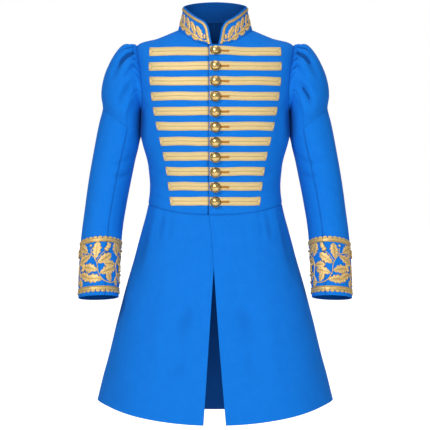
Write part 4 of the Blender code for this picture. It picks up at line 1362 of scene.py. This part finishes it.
SHANK = 0.0028
BUTTON_Z = [z - BUTTON_DROP for z in BAR_Z]
for number, z in enumerate(BUTTON_Z):
    point, normal = raised_front(np.array(BUTTON_X), np.array(z), 1)
    normal = Vector((0.0, normal[1], normal[2]))
    foot = Vector(point) + normal * (LACE_LIFT + SHANK)
    tilt = Vector((0.05 * math.sin(4.1 * number), 0, 0.05 * math.cos(2.7 * number)))
    mesh = pattern_button.data.copy()
    radial = np.array([math.hypot(*vertex.co[:2]) for vertex in mesh.vertices])
    # Painted shade: a dark ring in the step between the rim and the dome.
    note_painted_shade(mesh, 0.9 * hump(radial - BUTTON_RADIUS + 0.0013, 0.0010))
    mesh.transform(standing_on(foot, normal + tilt * 0.5))
    mesh.materials.clear()
    mesh.materials.append(BRASS)
    button = bpy.data.objects.new(f"button_{number + 1:02d}_brass", mesh)
    scene.collection.objects.link(button)
    finish_trim(button, f"button_{number + 1:02d}")
bpy.data.objects.remove(pattern_button, do_unlink=True)

# %% [markdown]
# ## Buttonholes and rows of stitches
# A buttonhole's two edges are bound with close stitches of silk and end in a small round eye. Each stitch is the
# same little padded shape, so one is modelled with few faces and laid many times. The same stitch, longer and
# thinner, makes the row of stitching inside the front edges.

# %% A stitch, and the things sewn with it
def model_stitch():
    bpy.ops.object.select_all(action="DESELECT")
    bpy.ops.mesh.primitive_cylinder_add(vertices=6, radius=0.5, depth=1.0, rotation=(0, math.pi / 2, 0))
    stitch = bpy.context.object
    bpy.ops.object.transform_apply(location=True, rotation=True, scale=True)
    enter_edit(stitch)
    pick_faces(stitch, lambda centre, normal: abs(normal.x) > 0.9)
    bpy.ops.mesh.extrude_faces_move(TRANSFORM_OT_shrink_fatten={"value": 0.18})
    bpy.ops.mesh.poke()
    bpy.ops.object.mode_set(mode="OBJECT")
    for vertex in stitch.data.vertices:
        if abs(vertex.co.x) > 0.55:
            vertex.co.y *= 0.55
            vertex.co.z *= 0.55
    return stitch


def taken_apart(thing):
    """An object's points and faces. The object itself isn't needed any more, so it is removed."""
    points = np.array([vertex.co[:] for vertex in thing.data.vertices])
    faces = [tuple(face.vertices) for face in thing.data.polygons]
    bpy.data.objects.remove(thing, do_unlink=True)
    return points, faces


STITCH_POINTS, STITCH_FACES = taken_apart(model_stitch())
print("one stitch:", len(STITCH_FACES), "faces")


class Basket:
    """Shapes gathered to be joined into one piece."""

    def __init__(self):
        self.points, self.faces, self.flat, self.deep, self.count = [], [], [], [], 0

    def add(self, points, faces, flat, deep):
        self.points.append(points)
        self.faces.extend(tuple(i + self.count for i in face) for face in faces)
        self.flat.append(flat)
        self.deep.append(deep)
        self.count += len(points)

    def make(self, name, material):
        points, flat, deep = (np.concatenate(rows) for rows in (self.points, self.flat, self.deep))
        return make_mesh(name, points, self.faces, flat, deep, (material,), sharp=60)


def lay_stitch(basket, point, normal, direction, length, width, height):
    z, x = np.asarray(normal, float), np.asarray(direction, float)
    x = unit(x - z * (x @ z))
    y = np.cross(z, x)
    local = STITCH_POINTS * np.array((length, width, height))
    placed = point + local[:, :1] * x + local[:, 1:2] * y + local[:, 2:] * z
    basket.add(placed, STITCH_FACES, local[:, :2], np.zeros(len(local)))


def hole_stitch(basket, x, z, direction, length, height):
    spot, upright = raised_front(np.array(x), np.array(z), 1)
    lay_stitch(basket, spot + upright * (LACE + 0.0009), upright, direction, length, 0.0009, height)


HOLE_START, HOLE_END, EYE_X, EYE_RADIUS = 0.0128, 0.0292, 0.0305, 0.0019
for number, z in enumerate(BUTTON_Z):
    holes = Basket()
    slant = 0.02 * math.sin(1.9 * number)
    for place in np.arange(HOLE_START, HOLE_END, 0.00078):
        for half in (-1, 1):
            height = z + half * 0.0011 + (place - 0.02) * slant
            hole_stitch(holes, place, height, (0.12 * half, 0, 1), 0.0019, 0.0012)
    for turn in np.linspace(0.5, 2 * math.pi - 0.5, 13):
        x, up = np.array((-math.cos(turn), math.sin(turn))) * EYE_RADIUS
        hole_stitch(holes, EYE_X + x, z + (EYE_X - 0.02) * slant + up, (x, 0, up), 0.0018, 0.0014)
    finish_trim(holes.make(f"buttonhole_{number + 1:02d}", HOLE_SILK))


# %% Rows of stitches
STITCH_PITCH = 0.0034


def stitch_row(basket, points, normals):
    """Stitches laid end to end along a line of points."""
    walked = walked_along(points)

    def row_at(place, rows):
        return np.array([np.interp(place, walked, column) for column in rows.T])

    for place in np.arange(STITCH_PITCH / 2, walked[-1], STITCH_PITCH):
        spot, normal = row_at(place, points), unit(row_at(place, normals))
        ahead = row_at(place + STITCH_PITCH / 3, points)
        lay_stitch(basket, spot + normal * 0.0001, normal, ahead - spot, STITCH_PITCH * 0.62, 0.0005, 0.0005)


for side, word in SIDES:
    row = Basket()
    levels = np.linspace(0.02, 0.985, 240)
    angles = angle_of_x(SKIRT_RINGS, levels, skirt_edge(levels, side) + EDGE_STITCHES + 0.0002)
    normals = skirt_normal(angles, levels)
    points = lapped(skirt(angles, levels), normals, side)
    points = points + normals * (skirt_relief(points, False) - EDGE_PULL)[:, None]
    stitch_row(row, points * mirror_of(side), normals * mirror_of(side))
    finish_trim(row.make(f"skirt_edge_stitches_{word}", BLUE_THREAD))

row = Basket()
heights = np.linspace(BAR_TOP_Z + 0.012, -0.432, 160)
points, normals = raised_front(np.full_like(heights, EDGE_X + 0.0040), heights, 1)
from_bar = np.abs(((BAR_TOP_Z - heights) / BAR_PITCH + 0.5) % 1.0 - 0.5) * BAR_PITCH
visible = from_bar > BAR_HEIGHT / 2 + 0.0006
starts = np.flatnonzero(np.diff(np.r_[0, visible]) == 1)
ends = np.flatnonzero(np.diff(np.r_[visible, 0]) == -1)
for first, last in zip(starts, ends):
    if last - first > 2:
        stitch_row(row, points[first : last + 1], normals[first : last + 1])
finish_trim(row.make("front_edge_stitches", BLUE_THREAD))

# %% [markdown]
# ## Padded gold needlework
# Oak leaves and acorns are worked in gold thread over felt padding, so each one is a low pillow with a furrow
# for its midrib. A leaf starts as a flat grid; its rows are drawn in to a lobed outline, its middle is raised,
# and it is given a back. Acorns and berries start as spheres. Every motif is modelled once, flat, and is then
# laid along a stem on the curved cloth, each copy with its own length, width and bend.

# %% One oak leaf, one acorn, one berry
LOBES = 4


def leaf_width(share):
    """Half the leaf's width at a share of its length, for a leaf of width 1."""
    body = 0.12 + 0.88 * np.sin(math.pi * np.clip(share, 0, 1) ** 1.12) ** 0.62
    tip = np.sqrt(np.maximum(0.0, 1 - share**9))
    lobe = np.abs(np.sin(math.pi * (LOBES * share + 0.12))) ** 0.65
    return 0.5 * body * tip * (0.54 + 0.46 * lobe)


def model_leaf():
    bpy.ops.object.select_all(action="DESELECT")
    bpy.ops.mesh.primitive_grid_add(x_subdivisions=8, y_subdivisions=31, size=1.0)
    leaf = bpy.context.object
    points = np.array([vertex.co[:] for vertex in leaf.data.vertices])
    across, share = points[:, 0] * 2, points[:, 1] + 0.5
    across = np.sign(across) * np.sin(np.abs(across) * math.pi / 2)
    x = across * leaf_width(share)
    y = share + 0.10 * np.abs(across) * (1 - share)
    dome = np.sqrt(np.maximum(0.0, 1 - across**2))
    vein = hump(across, 0.13) * (1 - 0.5 * share)
    side_veins = np.cos(2 * math.pi * (LOBES * (share - 0.10 * np.abs(across)) + 0.12)) * np.abs(across)
    height = dome * (1 - 0.42 * vein) + 0.10 * side_veins * dome
    height = height * np.minimum(1.0, 0.35 + 3 * share) * np.minimum(1.0, 0.45 + 4 * (1 - share))
    leaf.data.vertices.foreach_set("co", np.stack([x, y, height], -1).ravel())
    enter_edit(leaf)
    bpy.ops.mesh.select_all(action="SELECT")
    bpy.ops.mesh.extrude_region_move(TRANSFORM_OT_translate={"value": (0, 0, -0.25)})
    bpy.ops.object.mode_set(mode="OBJECT")
    return taken_apart(leaf)


LEAF_POINTS, LEAF_FACES = model_leaf()
print("one leaf:", len(LEAF_FACES), "faces")


def model_round(segments, rings, pointed):
    bpy.ops.object.select_all(action="DESELECT")
    bpy.ops.mesh.primitive_uv_sphere_add(
        segments=segments, ring_count=rings, radius=0.5, rotation=(math.pi / 2, 0, 0)
    )
    bpy.ops.object.transform_apply(location=True, rotation=True, scale=True)
    ball = bpy.context.object
    enter_edit(ball)
    bpy.ops.mesh.select_all(action="SELECT")
    bpy.ops.mesh.normals_make_consistent(inside=False)
    bpy.ops.object.mode_set(mode="OBJECT")
    points, faces = taken_apart(ball)
    if pointed:
        points[:, 1] += 0.20 * smooth((points[:, 1] - 0.28) / 0.22) * (1 - 2 * np.abs(points[:, 0]))
    return points, faces


NUT_POINTS, NUT_FACES = model_round(14, 12, True)
BALL_POINTS, BALL_FACES = model_round(12, 8, False)
print("acorn and berry:", len(NUT_FACES), len(BALL_FACES), "faces")


# %% Laying motifs on a surface
THREAD_SLANT = math.radians(40)


def lay_motif(basket, surface, motif, base, degrees, size, deep, bend=0.0, sink=0.0003):
    """Lay a flat motif on a surface, at a size (length, width, height). base is where its foot lies and
    degrees where it points, on the surface's own flat coordinates in metres; surface(a, b, lift) gives points
    and normals."""
    points, faces = motif
    length, width, height = size
    angle = math.radians(degrees)
    x = points[:, 0] * width + bend * length * points[:, 1] ** 2
    y = points[:, 1] * length
    lift = np.where(points[:, 2] < 0, -sink, points[:, 2] * height)
    a = base[0] + y * math.cos(angle) + x * math.sin(angle)
    b = base[1] + y * math.sin(angle) - x * math.cos(angle)
    place, _ = surface(a, b, lift)
    run, rise = math.cos(THREAD_SLANT), math.sin(THREAD_SLANT)
    beside = np.abs(points[:, 0] * width)
    basket.add(place, faces, np.stack([beside * rise + y * run, beside * run - y * rise], -1), deep)


def lay_leaf(basket, surface, base, degrees, length, width, bend=0.0, height=0.0012):
    across = np.abs(LEAF_POINTS[:, 0]) / np.maximum(leaf_width(np.clip(LEAF_POINTS[:, 1], 0, 1)), 0.02)
    # Painted shade along the midrib and round the margin, where the leaves meet.
    deep = np.clip(0.62 * hump(across, 0.09) + 0.75 * smooth((across - 0.86) / 0.14), 0, 1)
    lay_motif(basket, surface, (LEAF_POINTS, LEAF_FACES), base, degrees, (length, width, height), deep, bend)


def lay_round(basket, surface, base, degrees, size, nut=False):
    points, faces = (NUT_POINTS, NUT_FACES) if nut else (BALL_POINTS, BALL_FACES)
    # Painted shade, darker towards the bottom, where each round sits on the cloth.
    deep = np.clip(0.8 - 2.2 * points[:, 2], 0, 1) * 0.8
    standing = points + np.array((0, 0.5, 0.32))
    lay_motif(basket, surface, (standing, faces), base, degrees, size, deep, sink=0.0004)


def lay_acorn(basket, surface, base, degrees, size=1.0):
    turn, foot = math.radians(degrees), np.array(base)
    out_of_cup = foot + np.array((math.cos(turn), math.sin(turn))) * 0.0042 * size
    lay_round(basket, surface, out_of_cup, degrees, np.array((0.0135, 0.0090, 0.0048)) * size, True)
    lay_round(basket, surface, foot, degrees, np.array((0.0072, 0.0104, 0.0062)) * size)


def lay_stem(basket, surface, places, radius=0.0011, sides=7):
    """A cord of twisted thread along a smooth line through places on the surface."""
    table = tuple((i, *place) for i, place in enumerate(places))
    at = np.linspace(0, len(places) - 1, 9 * len(places))
    a, b = along(table, 1, at), along(table, 2, at)
    middle, normal = surface(a, b, np.full_like(a, radius * 0.6))
    ahead = unit(np.gradient(middle, axis=0))
    beside = unit(np.cross(normal, ahead))
    taper = np.minimum(1.0, 0.45 + 8 * (1 - at / at[-1]))
    turns = np.arange(sides) * 2 * math.pi / sides
    spokes = [beside * math.cos(turn) + normal * math.sin(turn) for turn in turns]
    points = np.stack([middle + spoke * (radius * taper)[:, None] for spoke in spokes], 1).reshape(-1, 3)
    faces = []
    for i in range(len(at) - 1):
        for k in range(sides):
            j = (k + 1) % sides
            faces.append((i * sides + k, (i + 1) * sides + k, (i + 1) * sides + j, i * sides + j))
    faces.append(tuple(range(sides)))
    faces.append(tuple((len(at) - 1) * sides + k for k in reversed(range(sides))))
    a, b, c = points[list(faces[0][:3])]
    centre = middle[:2].mean(axis=0)
    if np.dot(np.cross(b - a, c - b), a - centre) < 0:
        faces = [tuple(reversed(face)) for face in faces]
    flat = np.stack([np.repeat(walked_along(middle), sides), np.tile(np.arange(sides) * 0.0009, len(at))], -1)
    basket.add(points, faces, flat, np.full(len(points), 0.15))


# %% [markdown]
# ## The pattern of the cuffs
# One length of pattern, a winding stem with its leaves, acorns and berries, goes round the cuff three times. It
# is drawn in millimetres: A round the cuff and B up from the lower lace. Each time round, every leaf is turned
# and stretched a little, as it is when it is worked by hand.

# %% Cuff needlework
CUFF_ROUND = 0.302
REPEAT = CUFF_ROUND / 3
climb = np.linspace(CUFF_LACE_RINGS[1][0], CUFF_LACE_RINGS[0][1], 200)
climbed = walked_along(sleeve(np.full_like(climb, math.pi / 2), climb))
print("height between the cuff laces:", round(climbed[-1] * 1000, 1), "mm")


def cuff_surface(side):
    """The cuff as a surface to lay motifs on: it takes the pattern's A and B in metres, and a lift."""
    def surface(a, b, lift):
        turn = math.pi / 2 - np.asarray(a) / CUFF_ROUND * 2 * math.pi
        return on_sleeve(turn, np.interp(b, climbed, climb), side, np.asarray(lift) + 0.0002)

    return surface


CUFF_STEM = (
    (-3, 13), (12, 8), (30, 14), (42, 32), (46, 54), (58, 74), (76, 82), (91, 72), (98, 52), (94, 30), (98, 13),
)
CUFF_TWIGS = (((47, 60), (38, 74), (28, 84)), ((94, 34), (87, 33), (82, 38)), ((60, 76), (61, 84), (62, 92)))
# foot A, foot B, direction in degrees, length, width, bend
CUFF_LEAVES = (
    (31, 14, 8, 36, 20, 0.10), (41, 29, 156, 36, 20, -0.10), (43, 36, 25, 36, 20, 0.10),
    (46, 54, 151, 35, 20, 0.10), (50, 64, 86, 35, 19, -0.08), (58, 74, -14, 35, 19, 0.10),
    (70, 82, 42, 33, 19, 0.06), (92, 73, 64, 31, 18, -0.10), (98, 52, 6, 27, 17, 0.10),
    (94, 33, 199, 32, 19, -0.12), (97, 24, -102, 21, 14, 0.05), (9, 9, 62, 24, 15, -0.08),
)
CUFF_ACORNS = ((28, 84, 118, 1.15), (82, 38, 102, 1.05))
CUFF_BERRIES = ((62, 95), (72, 11), (7, 86), (22, 99), (64, 31), (86, 52))


def in_metres(places, start=0.0):
    return [(start + a / 1000, b / 1000) for a, b in places]


for side, word in SIDES:
    drawn = np.random.default_rng(7 + side)
    surface = cuff_surface(side)
    work = Basket()
    for time_round in range(3):
        start = (time_round - 1.42) * REPEAT
        lay_stem(work, surface, in_metres(CUFF_STEM, start))
        for twig in CUFF_TWIGS:
            lay_stem(work, surface, in_metres(twig, start), 0.0008)
        for a, b, turn, length, width, bend in CUFF_LEAVES:
            a, b = start + (a + drawn.uniform(-1.2, 1.2)) / 1000, (b + drawn.uniform(-1.0, 1.0)) / 1000
            stretch = drawn.uniform(1.12, 1.26) / 1000
            lay_leaf(work, surface, (a, b), turn + drawn.uniform(-5, 5), length * stretch, width * stretch, bend)
        for a, b, turn, size in CUFF_ACORNS:
            lay_acorn(work, surface, (start + a / 1000, b / 1000), turn + drawn.uniform(-6, 6), size)
        for place in in_metres(CUFF_BERRIES, start):
            lay_round(work, surface, place, 90, (0.0062, 0.0062, 0.0046))
    piece = work.make(f"cuff_needlework_{word}", GOLD_WORK)
    finish_trim(piece)
    print(f"cuff needlework, {word}: {len(piece.data.polygons)} faces")

# %% [markdown]
# ## The sprigs on the collar
# From each front edge a branch of oak runs back along the collar, with its leaves in pairs above and below the
# stem, growing smaller, and small acorns at its foot.

# %% Collar needlework
round_angles = np.linspace(0.05, 2.4, 300)
round_walked = walked_along(collar(round_angles, np.full_like(round_angles, 0.5)))
COLLAR_TALL = 0.0545


def collar_surface(side):
    """The collar as such a surface: A runs back from the front edge, B up from the seam."""
    def surface(a, b, lift):
        angle = np.interp(np.asarray(a) + 0.002, round_walked, round_angles)
        point, normal = on_collar(angle, np.asarray(b) / COLLAR_TALL, np.asarray(lift) + 0.0002)
        return point * mirror_of(side), normal * mirror_of(side)

    return surface


SPRIG_STEM = ((12, 3), (24, 5), (42, 9), (62, 14), (82, 18), (102, 20), (116, 21))
SPRIG_LEAVES = (
    (23, 5, 62, 35, 17, 0.10), (43, 10, 62, 33, 17, 0.10), (63, 15, 60, 30, 16, 0.08),
    (84, 18, 58, 27, 15, 0.08), (102, 20, 48, 23, 13, 0.05), (30, 6, 2, 23, 17, -0.06),
    (52, 11, -8, 25, 18, -0.08), (74, 15, -12, 25, 17, -0.08), (95, 18, -12, 23, 15, -0.05),
    (112, 21, 0, 20, 13, 0.0),
)
SPRIG_ACORNS = ((18, 9, 84, 0.62), (22, 3, 14, 0.58), (15, 4, 140, 0.5))
sprigs = Basket()
for side in (1, -1):
    surface = collar_surface(side)
    lay_stem(sprigs, surface, in_metres(SPRIG_STEM), 0.0009)
    for a, b, turn, length, width, bend in SPRIG_LEAVES:
        length, width = 1.04 * length / 1000, 1.02 * width / 1000
        lay_leaf(sprigs, surface, (a / 1000, b / 1000), turn, length, width, bend, 0.0014)
    for a, b, turn, size in SPRIG_ACORNS:
        lay_acorn(sprigs, surface, (a / 1000, b / 1000), turn, size)
    lay_round(sprigs, surface, (0.036, 0.022), 90, (0.0042, 0.0042, 0.0034))
    lay_round(sprigs, surface, (0.058, 0.029), 90, (0.0038, 0.0038, 0.0032))
piece = sprigs.make("collar_needlework", GOLD_WORK)
finish_trim(piece)
print("collar needlework:", len(piece.data.polygons), "faces")
